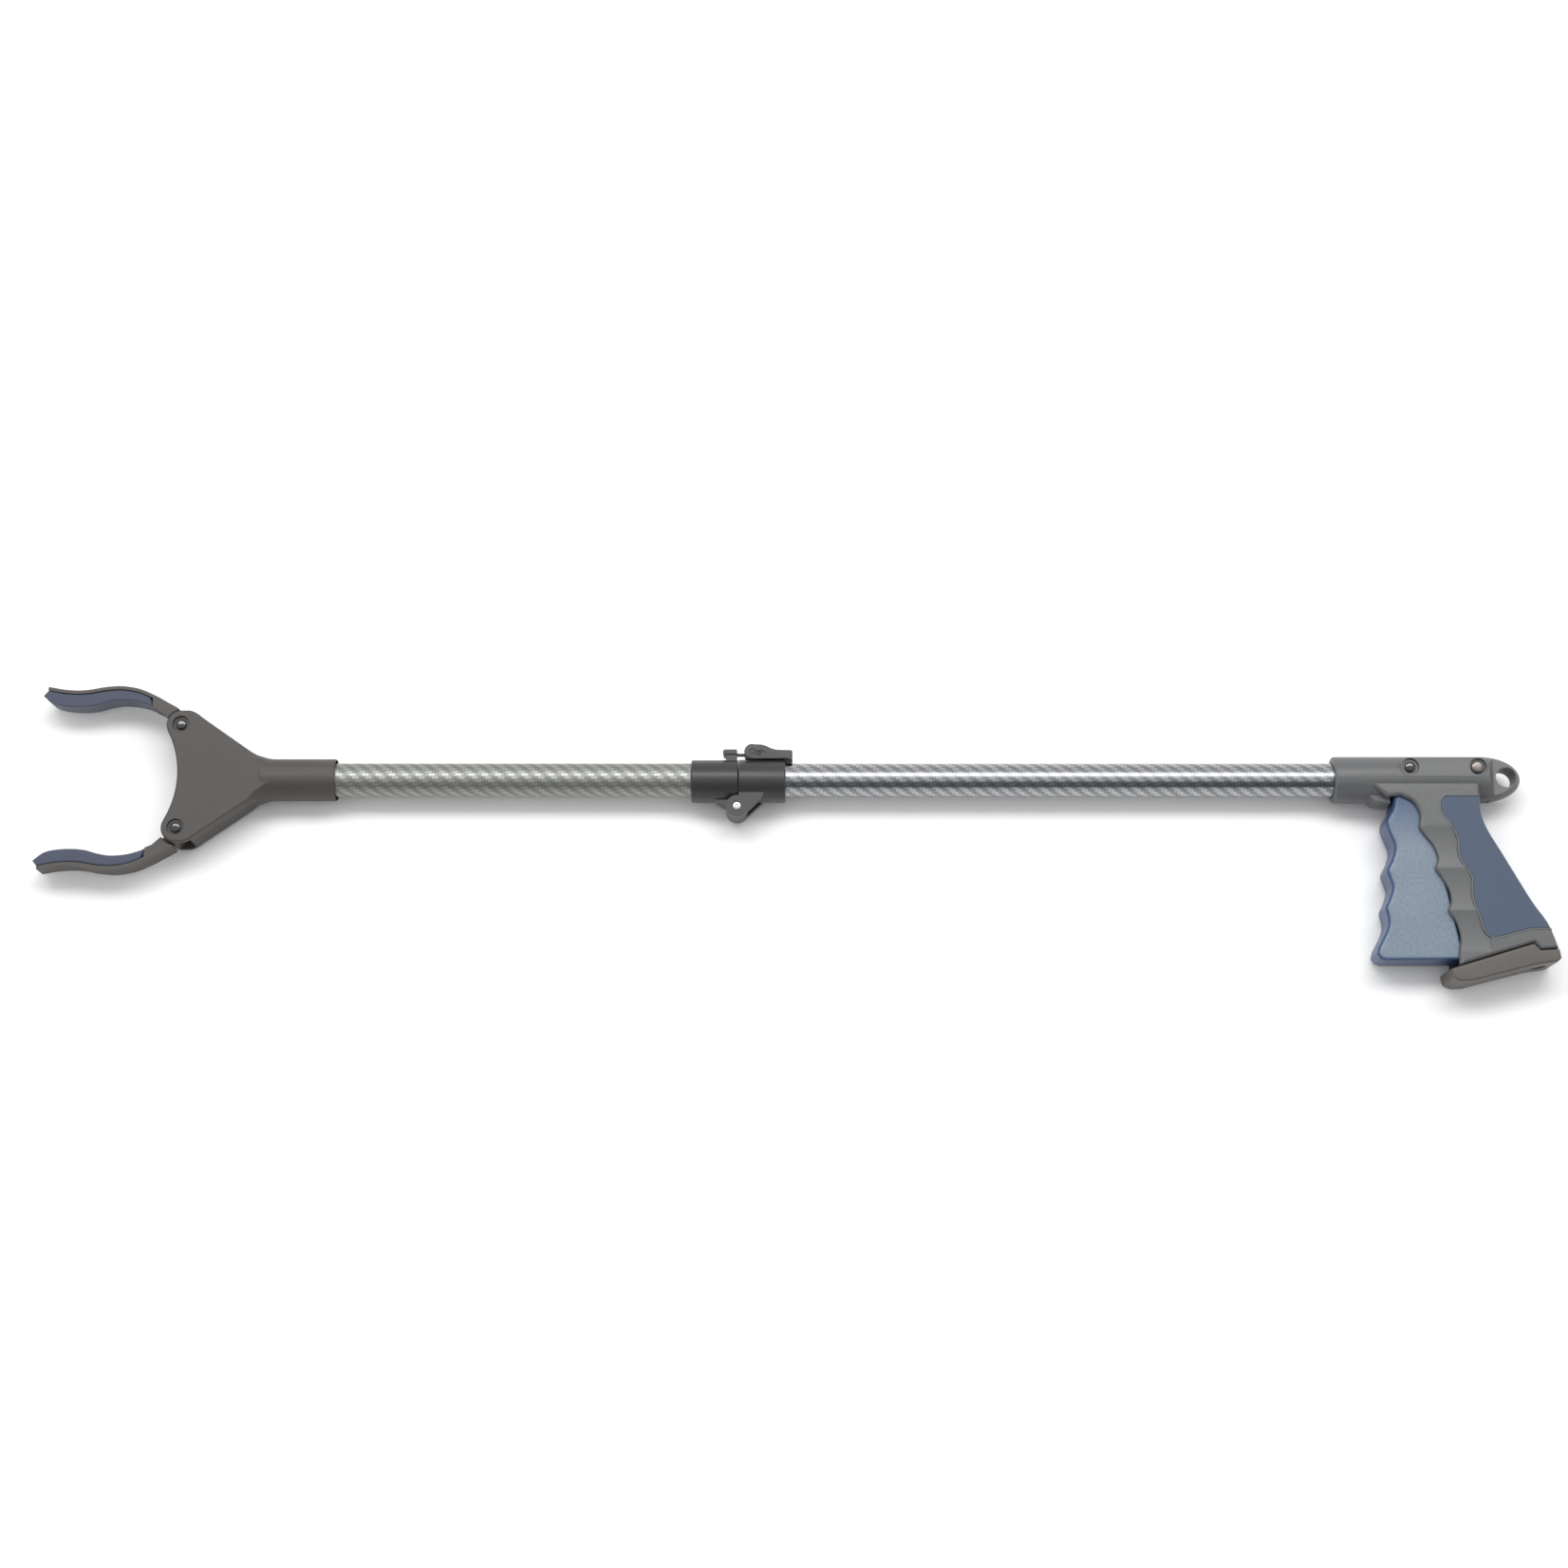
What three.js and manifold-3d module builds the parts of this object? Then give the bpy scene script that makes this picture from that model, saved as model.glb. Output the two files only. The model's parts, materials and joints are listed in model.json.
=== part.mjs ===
// Folding reacher grabber, lying on its side. Millimetres, +Z up.
// Every part is drawn in the tool's own frame: x = 0 on the fold's parting plane, y = 0 and z = 0 on
// the tube's axis, jaws towards -X, handle towards +X, grip towards -Y. The last group moves the whole
// tool so that the origin is below the middle of its outer box, on the surface that it lies on.

import * as THREE from 'three';
import { mergeVertices } from 'three/addons/utils/BufferGeometryUtils.js';
import Module from 'manifold-3d';

const wasm = await Module();
wasm.setup();

// ---------------------------------------------------------------- driving dimensions

const GAP = 0.3;                                    // clearance between touching pieces
const HALF_GAP = GAP / 2;
const DEG = Math.PI / 180;

const TUBE = { radius: 10, bore: 8.75, frontEnd: -272, rearEnd: 372, foldEnd: 10 };

const CLAMP = { radius: 12.7, drop: -0.8, length: 28, mouth: 8.6, fillet: 1.1 };
const HINGE = { x: -0.8, y: -17.8, lug: 6.5, pin: 2.5, centreHalf: 4.2, lugOuter: 9.2, pinHalf: 9.7 };
const SLOT = { halfLength: 9.5, halfWidth: 1.4, top: -5, bottom: -16 };

const LATCH = { x: 8.2, y: 16.1, throw: 4, angle: -15, nose: 4.7, halfWidth: 6.6, channel: 4.75 };
const EAR = { radius: 2.2, inner: 2.4, outer: 4.45, stub: 1.45, pinHole: 1.7 };
const LINK = { rodY: 15.4, rodHalf: 0.8, eye: 2.3, pin: 1, headFrom: -9.3, headTo: -0.9, headTop: 17.8 };
const SADDLE = { from: -7.5, to: -0.9, top: 14.3, halfWidth: 5 };

const JAW_PIVOT = { x: -331.2, y: 31.4 };
const JAW = { halfWidth: 8.4, spine: 2, barrel: 4.9, shank: 2.5 };
const TAIL = { x: -330.5, y: 23.43, pin: 1.5, eye: 2.8 };
const HEAD = { half: 12, plate: 8.8, lobe: 8.7, arcRadius: 57, arcX: -389, wall: 2.4, sleeve: 12.5 };
const SLEEVE = { from: -285, to: -239, fit: 10.3, mouth: 11.4, mouthDepth: 4 };
const SET_SCREW_X = -256;
const YOKE = { half: 1.5, slotHalf: 1.8, collarX: -295, collarRadius: 6.2, stem: 2.6 };

const CABLE = { radius: 0.75, y: -6.4, dipY: -14.3, sides: 6 };
const TRIGGER_PIVOT = { x: 397.2, y: 4.8 };
const REAR_SCREW = { x: 437.3, y: 4.8 };
const TRIGGER = { half: 11, bevel: 2.5, swing: 18, pickUp: 13.65, neckHalf: 6.3, barrel: 2.4 };

const BARREL = { radius: 13.85, from: 353, shoulder: 441, nose: 24, earHalf: 7.5, earFrom: 447.5 };
const LANYARD = { x: 455.2, radius: 6.1 };
const GRIP = { half: 14.5, bevel: 2, cavity: 11.8, skin: 1.6 };

const BOX_CENTRE = { x: 31.5, y: -33.8 };           // middle of the outer box, in the tool's frame

// ---------------------------------------------------------------- finishes

const GREY_PLASTIC = { color: 0x66635d, roughness: 0.75, metalness: 0 };
const GRIP_PLASTIC = { color: 0x7d7b75, roughness: 0.7, metalness: 0 };
const BLACK_PLASTIC = { color: 0x3c3c40, roughness: 0.5, metalness: 0 };
const BLUE_PLASTIC = { color: 0x5f7397, roughness: 0.35, metalness: 0 };
const BLUE_RUBBER = { color: 0x4b6180, roughness: 0.85, metalness: 0 };
const CARBON = { color: 0x5c5c5a, roughness: 0.3, metalness: 0 };
const STEEL = { color: 0xb9b9b6, roughness: 0.3, metalness: 1 };
const DARK_STEEL = { color: 0x2a2a2c, roughness: 0.25, metalness: 1 };
const NYLON = { color: 0xd8d5cc, roughness: 0.6, metalness: 0 };

// ---------------------------------------------------------------- solids from geometries

function solid(geometry) {
  const bare = geometry.clone();
  bare.deleteAttribute('normal');
  bare.deleteAttribute('uv');
  const welded = mergeVertices(bare, 1e-4);
  return new wasm.Manifold(new wasm.Mesh({
    numProp: 3,
    vertProperties: new Float32Array(welded.attributes.position.array),
    triVerts: new Uint32Array(welded.index.array),
  }));
}

function geometryOf(body) {
  const mesh = body.getMesh();
  const geometry = new THREE.BufferGeometry();
  geometry.setAttribute('position', new THREE.BufferAttribute(new Float32Array(mesh.vertProperties), 3));
  geometry.setIndex(new THREE.BufferAttribute(new Uint32Array(mesh.triVerts), 1));
  geometry.computeVertexNormals();
  return geometry;
}

function union(...bodies) {
  return bodies.reduce((sum, body) => sum.add(body));
}

function cut(body, ...tools) {
  return tools.reduce((rest, tool) => rest.subtract(tool), body);
}

function box(x0, x1, y0, y1, z0, z1) {
  const geometry = new THREE.BoxGeometry(x1 - x0, y1 - y0, z1 - z0);
  geometry.translate((x0 + x1) / 2, (y0 + y1) / 2, (z0 + z1) / 2);
  return solid(geometry);
}

// A plate of the outline's shape between two heights, with an optional rounded edge.
function plate(shape, z0, z1, { bevel = 0, curve = 5 } = {}) {
  const geometry = new THREE.ExtrudeGeometry(shape, {
    depth: z1 - z0 - 2 * bevel,
    curveSegments: curve,
    bevelEnabled: bevel > 0,
    bevelThickness: bevel,
    bevelSize: bevel,
    bevelOffset: -bevel,
    bevelSegments: 1,
  });
  geometry.translate(0, 0, z0 + bevel);
  return solid(geometry);
}

// A body turned about the X axis from pairs of [x, radius]; a ring's pairs end where they started.
function turned(pairs, { segments = 20, y = 0 } = {}) {
  const profile = pairs.map(([x, radius]) => new THREE.Vector2(radius, x));
  const geometry = new THREE.LatheGeometry(profile, segments);
  geometry.rotateZ(-Math.PI / 2);
  geometry.translate(0, y, 0);
  return solid(geometry);
}

function bar(x0, x1, radius, { segments = 20, y = 0 } = {}) {
  return turned([[x0, 0], [x0, radius], [x1, radius], [x1, 0]], { segments, y });
}

// A body turned about an axis along Z through (x, y), from pairs of [z, radius].
function spindle(x, y, pairs, segments = 14) {
  const profile = pairs.map(([z, radius]) => new THREE.Vector2(radius, z));
  const geometry = new THREE.LatheGeometry(profile, segments);
  geometry.rotateX(Math.PI / 2);
  geometry.translate(x, y, 0);
  return solid(geometry);
}

function post(x, y, radius, z0, z1, segments = 14) {
  return spindle(x, y, [[z0, 0], [z0, radius], [z1, radius], [z1, 0]], segments);
}

function polygon(points) {
  return new THREE.Shape(points.map(([x, y]) => new THREE.Vector2(x, y)));
}

function vectors(points) {
  return points.map(([x, y]) => new THREE.Vector2(x, y));
}

// Points of a smooth line through the given ones, each moved sideways by a distance.
function smoothLine(points, steps, sideways = 0) {
  const curve = new THREE.SplineCurve(vectors(points));
  const line = [];
  for (let i = 0; i <= steps; i++) {
    const tangent = curve.getTangent(i / steps);
    const place = curve.getPoint(i / steps);
    line.push([place.x - tangent.y * sideways, place.y + tangent.x * sideways]);
  }
  return line;
}

function mirrorY(body) {
  return body.mirror([0, 1, 0]);
}

function wireAlong(points, radius, sides, steps) {
  const section = new THREE.Shape();
  section.absarc(0, 0, radius, 0, 2 * Math.PI);
  const places = points.map((point) => new THREE.Vector3(...point));
  const path = new THREE.CatmullRomCurve3(places, false, 'catmullrom', 0.3);
  return new THREE.ExtrudeGeometry(section, { extrudePath: path, steps, curveSegments: sides / 2 });
}

// ---------------------------------------------------------------- tubes and cable

function tubeBetween(x0, x1) {
  const { radius, bore } = TUBE;
  return turned([[x0, bore], [x0, radius], [x1, radius], [x1, bore], [x0, bore]], { segments: 24 });
}

function frontCable() {
  const y = CABLE.y;
  const route = [[-304.5, 0, 0], [-262, 0, 0], [-190, -1.8, 0], [-70, y + 0.6, 0], [-34, y, 0], [-9.7, y, 0]];
  return wireAlong(route, CABLE.radius, CABLE.sides, 16);
}

function foldCable() {
  const y = CABLE.y;
  const x = HINGE.x;
  const dip = CABLE.dipY;
  const route = [
    [-9.1, y, 0], [x - 4.7, y - 3, 0], [x - 2.4, dip + 1.4, 0], [x, dip, 0],
    [x + 2.4, dip + 1.4, 0], [x + 4.7, y - 3, 0], [7.5, y, 0],
  ];
  return wireAlong(route, CABLE.radius, CABLE.sides, 12);
}

function rearCable() {
  const y = CABLE.y;
  const end = triggerPickUp();
  const route = [
    [8.1, y, 0], [120, y, 0], [250, y, 0], [372, y, 0], [380, y - 0.6, 0], [end.x - 2.7, end.y, 0],
  ];
  return wireAlong(route, CABLE.radius, CABLE.sides, 16);
}

function springSeat() {
  const flange = TUBE.frontEnd - GAP;
  const plug = turned([
    [flange - 2, 0], [flange - 2, 9.6], [flange, 9.6], [flange, TUBE.bore - GAP],
    [flange + 9, TUBE.bore - GAP], [flange + 9, 0],
  ]);
  return cut(plug, bar(flange - 3, flange + 10, 1.5, { segments: 12 }));
}

function cableGuide() {
  const end = TUBE.rearEnd;
  const plug = turned([
    [end - 9, 0], [end - 9, TUBE.bore - GAP], [end + GAP, TUBE.bore - GAP], [end + GAP, 9.2],
    [end + 2, 9.2], [end + 2, 0],
  ]);
  return cut(plug, bar(end - 10, end + 3, 1.35, { segments: 12, y: CABLE.y }));
}

function returnSpring() {
  const from = YOKE.collarX + 0.9;
  const to = TUBE.frontEnd - 3.2;
  const turns = 5;
  const coilRadius = 4.6;
  const points = [];
  for (let i = 0; i <= turns * 8; i++) {
    const angle = (i / 8) * 2 * Math.PI;
    const x = from + ((to - from) * i) / (turns * 8);
    points.push([x, coilRadius * Math.cos(angle), coilRadius * Math.sin(angle)]);
  }
  return wireAlong(points, 0.55, 4, turns * 10);
}

// ---------------------------------------------------------------- fold: clamps, hinge and latch

function clampBody(side) {
  const { length, radius, fillet, drop } = CLAMP;
  const inner = side * 0.2;
  const outer = side * length;
  const pairs = [
    [inner, 0], [inner, radius - 0.3], [inner + side * 0.3, radius], [outer - side * fillet, radius],
    [outer - side * fillet * 0.3, radius - fillet * 0.3], [outer, radius - fillet], [outer, 0],
  ];
  return turned(side > 0 ? pairs : pairs.reverse(), { segments: 24, y: drop });
}

// The socket that holds the tube, and the narrower throat between it and the parting plane.
function clampBore(side) {
  const seat = side * (TUBE.foldEnd - GAP);
  const socket = [seat, side * (CLAMP.length + 1)].sort((a, b) => a - b);
  const throat = [side * -1, seat + side].sort((a, b) => a - b);
  return union(bar(...socket, TUBE.radius + GAP), bar(...throat, CLAMP.mouth));
}

function cableSlot() {
  return box(-SLOT.halfLength, SLOT.halfLength, SLOT.bottom, SLOT.top, -SLOT.halfWidth, SLOT.halfWidth);
}

function lugDisc(radius, z0, z1) {
  return post(HINGE.x, HINGE.y, radius, z0, z1, 20);
}

function rearClamp() {
  const { x, y, lug, pin, centreHalf, lugOuter } = HINGE;
  const z0 = centreHalf + GAP;
  const reach = lug * Math.SQRT1_2;
  const web = polygon([[x, y], [x + reach, y - reach], [14.2, -12.5], [16, -8], [0.3, -8], [0.3, -11.4]]);
  const lugs = [1, -1].map((side) => {
    const [low, high] = side > 0 ? [z0, lugOuter] : [-lugOuter, -z0];
    return union(lugDisc(lug, low, high), plate(web, low, high));
  });
  return cut(
    union(clampBody(1), ...lugs, latchEar(1), latchEar(-1)),
    clampBore(1),
    lugDisc(lug + 0.4, -z0, z0),
    lugDisc(pin + GAP, -lugOuter - 1, lugOuter + 1),
    cableSlot(),
  );
}

function latchEar(side) {
  const { x, y } = LATCH;
  const [low, high] = side > 0 ? [EAR.inner, EAR.outer] : [-EAR.outer, -EAR.inner];
  const stubEnds = [side * (EAR.outer - 1), side * (LATCH.halfWidth - 0.2)].sort((a, b) => a - b);
  const stem = plate(polygon([[x - 2, 10.6], [x + 2.6, 10.6], [x + 2, y], [x - 2, y]]), low, high);
  return union(post(x, y, EAR.radius, low, high), stem, post(x, y, EAR.stub, ...stubEnds, 16));
}

function frontClamp() {
  const { x, y, lug, pin, centreHalf, lugOuter } = HINGE;
  const web = polygon([[x, y], [-0.4, -8], [-14, -8], [-13.5, -13.8], [-6, -18.2]]);
  const { from, to, top, halfWidth } = SADDLE;
  const relief = [1, -1].map((side) => {
    const [low, high] = side > 0 ? [centreHalf, lugOuter + GAP] : [-lugOuter - GAP, -centreHalf];
    return lugDisc(lug + 0.4, low, high);
  });
  return cut(
    union(
      clampBody(-1),
      lugDisc(lug, -centreHalf, centreHalf),
      plate(web, -centreHalf, centreHalf),
      box(from, to, 10, top, -halfWidth, halfWidth),
    ),
    clampBore(-1),
    ...relief,
    lugDisc(pin + GAP, -lugOuter, lugOuter),
    cableSlot(),
  );
}

function hingePin() {
  const { x, y, pin, pinHalf } = HINGE;
  return spindle(x, y, [
    [-pinHalf, 0], [-pinHalf, pin - 0.4], [-pinHalf + 0.4, pin],
    [pinHalf - 0.4, pin], [pinHalf, pin - 0.4], [pinHalf, 0],
  ], 24);
}

function linkPivot() {
  const angle = LATCH.angle * DEG;
  return { x: LATCH.x + LATCH.throw * Math.cos(angle), y: LATCH.y + LATCH.throw * Math.sin(angle) };
}

function leverShape() {
  const { x, y, nose } = LATCH;
  const shape = new THREE.Shape();
  shape.moveTo(x, y - nose);
  shape.absarc(x, y, nose, 270 * DEG, 70 * DEG, true);
  shape.quadraticCurveTo(14, 20.9, 17.5, 19.1);
  shape.quadraticCurveTo(20.5, 17.4, 23.5, 17.2);
  shape.lineTo(31.4, 17);
  shape.lineTo(32.1, 16.3);
  shape.lineTo(32.1, 10.7);
  shape.lineTo(29.8, 11);
  shape.lineTo(28.6, 11.5);
  shape.lineTo(x, y - nose);
  return shape;
}

function latchLever() {
  const { x, y, halfWidth, channel } = LATCH;
  const pivot = linkPivot();
  const hollow = polygon([
    [0, 8], [28.4, 8], [28.4, 12.3], [21, 12.6], [21, 16], [16, 18], [9, 18.9], [x, 19.2], [x, 24], [0, 24],
  ]);
  return cut(
    plate(leverShape(), -halfWidth, halfWidth, { bevel: 0.6, curve: 4 }),
    plate(hollow, -channel, channel),
    box(x - 1, 17, y, 24, -1.6, 1.6),
    post(x, y, EAR.pinHole, -halfWidth - 1, halfWidth + 1),
    post(pivot.x, pivot.y, LINK.pin + GAP, -halfWidth - 1, halfWidth + 1, 16),
  );
}

function latchLink() {
  const pivot = linkPivot();
  const { rodY, rodHalf, eye, headFrom, headTo, headTop } = LINK;
  const bottom = rodY - rodHalf;
  const head = new THREE.Shape();
  head.moveTo(headTo, bottom);
  head.lineTo(headTo, headTop);
  head.absarc(headFrom + 1.6, headTop - 1.6, 1.6, 90 * DEG, 180 * DEG, false);
  head.lineTo(headFrom + 0.6, bottom);
  return cut(
    union(
      plate(head, -SADDLE.halfWidth, SADDLE.halfWidth),
      box(headTo - 1, pivot.x, bottom, rodY + rodHalf, -1.1, 1.1),
      post(pivot.x, pivot.y, eye, -2, 2),
    ),
    post(pivot.x, pivot.y, LINK.pin + GAP, -3, 3, 16),
  );
}

function linkPin() {
  const pivot = linkPivot();
  return post(pivot.x, pivot.y, LINK.pin, -LATCH.halfWidth + 0.2, LATCH.halfWidth - 0.2, 16);
}

// ---------------------------------------------------------------- head

function headOutline() {
  const { x, y } = JAW_PIVOT;
  const { lobe, arcRadius, arcX, sleeve } = HEAD;
  const sweep = Math.asin(27 / arcRadius);
  const shape = new THREE.Shape();
  shape.moveTo(SLEEVE.from + 8, sleeve);
  shape.quadraticCurveTo(SLEEVE.from - 1, sleeve, SLEEVE.from - 6, 16.3);
  shape.lineTo(-318, 35.2);
  shape.quadraticCurveTo(-323.5, 40, x + 4, y + lobe);
  shape.absarc(x, y, lobe, 85 * DEG, 210 * DEG, false);
  shape.absarc(arcX, 0, arcRadius, sweep, -sweep, true);
  shape.absarc(x, -y, lobe, 150 * DEG, 275 * DEG, false);
  shape.lineTo(x + 4, -y - lobe);
  shape.quadraticCurveTo(-323.5, -40, -318, -35.2);
  shape.lineTo(SLEEVE.from - 6, -16.3);
  shape.quadraticCurveTo(SLEEVE.from - 1, -sleeve, SLEEVE.from + 8, -sleeve);
  return shape;
}

function headCavity() {
  const radius = HEAD.arcRadius + HEAD.wall;
  const sweep = Math.asin(24 / radius);
  const shape = new THREE.Shape();
  shape.moveTo(SLEEVE.from - 4, 8);
  shape.lineTo(-317.5, 31.8);
  shape.lineTo(-322.5, 38.2);
  shape.lineTo(-326, 50);
  shape.lineTo(-350, 50);
  shape.lineTo(-350, 25.4);
  shape.lineTo(-338, 25.4);
  shape.absarc(HEAD.arcX, 0, radius, sweep, -sweep, true);
  shape.lineTo(-338, -25.4);
  shape.lineTo(-350, -25.4);
  shape.lineTo(-350, -50);
  shape.lineTo(-326, -50);
  shape.lineTo(-322.5, -38.2);
  shape.lineTo(-317.5, -31.8);
  shape.lineTo(SLEEVE.from - 4, -8);
  return shape;
}

function head() {
  const { half, plate: inner, sleeve } = HEAD;
  const { from, to, fit, mouth, mouthDepth } = SLEEVE;
  const { x, y } = JAW_PIVOT;
  const collarPairs = [[from, 0], [from, sleeve], [to - 0.6, sleeve], [to, sleeve - 0.6], [to, 0]];
  const collar = turned(collarPairs, { segments: 24 });
  const outer = union(plate(headOutline(), -half, half, { bevel: 1.2, curve: 5 }), collar);
  const recesses = [y, -y].flatMap((side) => [
    post(x, side, 5.1, half - 1.6, half + 1),
    post(x, side, 5.1, -half - 1, -half + 2),
    post(x, side, JAW.shank + GAP, -half - 1, half + 1),
  ]);
  return cut(
    outer,
    plate(headCavity(), -inner, inner, { curve: 6 }),
    bar(from - 16, TUBE.frontEnd - 2, 7.6),
    bar(TUBE.frontEnd - 2 - 2 * GAP, to + 1, fit),
    bar(to - mouthDepth, to + 1, mouth),
    ...recesses,
  );
}

function headShells() {
  const whole = head();
  const setScrewHole = post(SET_SCREW_X, 0, 2.3, -HEAD.half - 2, -TUBE.radius);
  return {
    left: cut(whole, box(-400, -200, -60, 60, -40, HALF_GAP)),
    right: cut(whole, box(-400, -200, -60, 60, -HALF_GAP, 40), setScrewHole),
  };
}

function setScrew() {
  return spindle(SET_SCREW_X, 0, [
    [-12.2, 0], [-12.2, 1.7], [-11.9, 2], [-TUBE.radius - GAP, 2], [-TUBE.radius - GAP, 0],
  ], 14);
}

// ---------------------------------------------------------------- jaws (drawn for the upper side)

const JAW_BACK = [
  [-346.5, 49.3], [-355.7, 53.5], [-363.5, 55.4], [-370.6, 56], [-379, 55.3],
  [-387, 53.9], [-395, 53.4], [-403.5, 54.1], [-412.5, 55.8],
];
const JAW_GRIP = [
  [-415.6, 50.4], [-409.2, 45.5], [-401.7, 43.7], [-392.6, 43.3], [-384.7, 44.1],
  [-378.1, 46], [-371.5, 47.3], [-365, 47.3], [-358.6, 46.4], [-352.3, 44.5], [-346, 41.6],
];

function jaw() {
  const { x, y } = JAW_PIVOT;
  const { halfWidth, spine, barrel, shank } = JAW;
  const back = smoothLine(JAW_BACK, 16);
  const front = smoothLine(JAW_BACK, 16, spine).reverse();
  const arm = polygon([...back, ...front]);
  const root = polygon([
    [-349.8, 50.9], [-346.5, 49.3], [-341.5, 46.4], [-334, 42.2], [x + 3.5, y + 3.5], [x, y],
    [x - 3.6, y - 3.3], [-340.2, 36.6], [-345.3, 41.2], [-346.2, 47.6], [-348.8, 49],
  ]);
  const tail = polygon([
    [x - barrel, y], [TAIL.x - TAIL.eye, TAIL.y], [TAIL.x + TAIL.eye, TAIL.y], [x + barrel, y],
  ]);
  const solidJaw = union(
    plate(arm, -halfWidth, halfWidth),
    plate(root, -halfWidth, halfWidth),
    plate(tail, -halfWidth, halfWidth),
    post(x, y, barrel, -halfWidth, halfWidth, 18),
    post(TAIL.x, TAIL.y, TAIL.eye, -halfWidth, halfWidth),
  );
  const fork = YOKE.half + 0.4;
  return cut(
    solidJaw,
    post(x, y, 7, -fork, fork, 24),
    box(x - 7, x + 7, y - 14, y - 3, -fork, fork),
    post(x, y, shank + GAP, -20, 20, 24),
    post(TAIL.x, TAIL.y, TAIL.pin + GAP, -20, 20, 16),
  );
}

function jawPad() {
  const reach = JAW.spine + GAP;
  const back = smoothLine(JAW_BACK, 16, reach);
  const front = smoothLine(JAW_GRIP, 18);
  const outline = polygon([...back.slice(1), ...front.slice(0, -1)]);
  return plate(outline, -JAW.halfWidth + 0.4, JAW.halfWidth - 0.4);
}

function jawScrew() {
  const { x, y } = JAW_PIVOT;
  const under = HEAD.half - 1.6 + GAP;
  return spindle(x, y, [
    [-HEAD.half + 0.5, 0], [-HEAD.half + 0.5, JAW.shank], [under, JAW.shank], [under, 3.2],
    [under + 0.5, 3.1], [under + 1.1, 2.2], [under + 1.4, 0],
  ]);
}

function jawNut() {
  const { x, y } = JAW_PIVOT;
  const low = -HEAD.half + 0.1;
  const high = -HEAD.half + 2 - GAP;
  return cut(post(x, y, 4.5, low, high, 6), post(x, y, JAW.shank + GAP, low - 1, high + 1));
}

function tailPin() {
  return post(TAIL.x, TAIL.y, TAIL.pin, -JAW.halfWidth + 0.3, JAW.halfWidth - 0.3, 16);
}

function pullYoke() {
  const { half, slotHalf, collarX, collarRadius, stem } = YOKE;
  const end = TAIL.y + 3;
  const arm = [
    [-312, 2.4], [-317, 6], [TAIL.x + 3.4, TAIL.y - 4.5], [TAIL.x + 3.2, end], [TAIL.x - 2.9, end],
    [TAIL.x - 2.9, TAIL.y - 1.6], [-329.5, 16], [-324.5, 3.5],
  ];
  const outline = polygon([...arm, [-322, 0], ...arm.map(([x, y]) => [x, -y]).reverse()]);
  const slots = [1, -1].map((side) => {
    const [low, high] = [side * (TAIL.y - 2), side * (end + 1)].sort((a, b) => a - b);
    return box(TAIL.x - slotHalf, TAIL.x + slotHalf, low, high, -3, 3);
  });
  const shaft = bar(-318, collarX, stem, { segments: 16 });
  const collar = bar(collarX - 1.6, collarX, collarRadius);
  return cut(
    union(plate(outline, -half, half), shaft, collar),
    bar(-305, collarX + 1, CABLE.radius + GAP, { segments: 12 }),
    ...slots,
  );
}

// ---------------------------------------------------------------- trigger

function triggerPickUp() {
  const angle = (270 - TRIGGER.swing / 2) * DEG;
  return {
    x: TRIGGER_PIVOT.x + TRIGGER.pickUp * Math.cos(angle),
    y: TRIGGER_PIVOT.y + TRIGGER.pickUp * Math.sin(angle),
  };
}

const TRIGGER_FRONT = [
  [387.4, -12.5], [386.6, -19], [382.2, -27], [383.2, -34], [386, -42.2], [384.2, -50], [381, -56.4],
  [382, -61.5], [383.4, -67.3], [381.2, -74], [378.8, -79.4], [379.8, -85], [379.2, -91.5], [373.4, -102.6],
];

function trigger() {
  const { half, bevel, neckHalf } = TRIGGER;
  const pivot = TRIGGER_PIVOT;
  const pickUp = triggerPickUp();
  const front = smoothLine(TRIGGER_FRONT, 30);
  const blade = polygon([
    ...front, [372.4, -106.4], [374.2, -109.6], [377.6, -110.6], [418.5, -110.4], [420.8, -108],
    [405, -20], [403.6, -11], [402, -9], [389.4, -9],
  ]);
  const inner = smoothLine(TRIGGER_FRONT.slice(3), 20, 3.4);
  const hollow = polygon([...inner, [377.8, -107.2], [430, -107.2], [416, -24], [389.5, -24]]);
  const neck = polygon([[390, -13], [391.4, 3], [403, 3], [403.4, -13]]);
  return cut(
    union(
      plate(blade, -half, half, { bevel, curve: 4 }),
      plate(neck, -neckHalf, neckHalf),
      post(pivot.x, pivot.y, 6, -neckHalf, neckHalf, 24),
    ),
    plate(hollow, -half + 2.8, half - 2.8),
    post(pivot.x, pivot.y, 2.5 + GAP, -20, 20, 24),
    post(pickUp.x, pickUp.y, TRIGGER.barrel + GAP, -5.3, 20, 20),
    box(380, pickUp.x, pickUp.y - 2.6, pickUp.y + 3.4, -1.3, 1.3),
  );
}

function cableBarrel() {
  const pickUp = triggerPickUp();
  return post(pickUp.x, pickUp.y, TRIGGER.barrel, -5, 5, 16);
}

// ---------------------------------------------------------------- handle

const GRIP_REAR = [
  [437.2, -4.8], [437.3, -22], [440.7, -33.4], [448, -46.9],
  [456, -62], [464.4, -77.2], [472.4, -89.6], [477.4, -103.8],
];
const GRIP_FRONT = [
  [419.3, -113.8], [419.6, -106], [420.8, -97.5], [418.8, -88.5], [414.8, -81.9], [416.5, -76.5],
  [415.6, -69], [411.6, -61.5], [408.6, -56.3], [410.4, -50.5], [408.2, -43], [402.8, -35.5],
  [400.6, -31], [401.4, -24], [398, -16.5], [390.5, -12.4],
];

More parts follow.
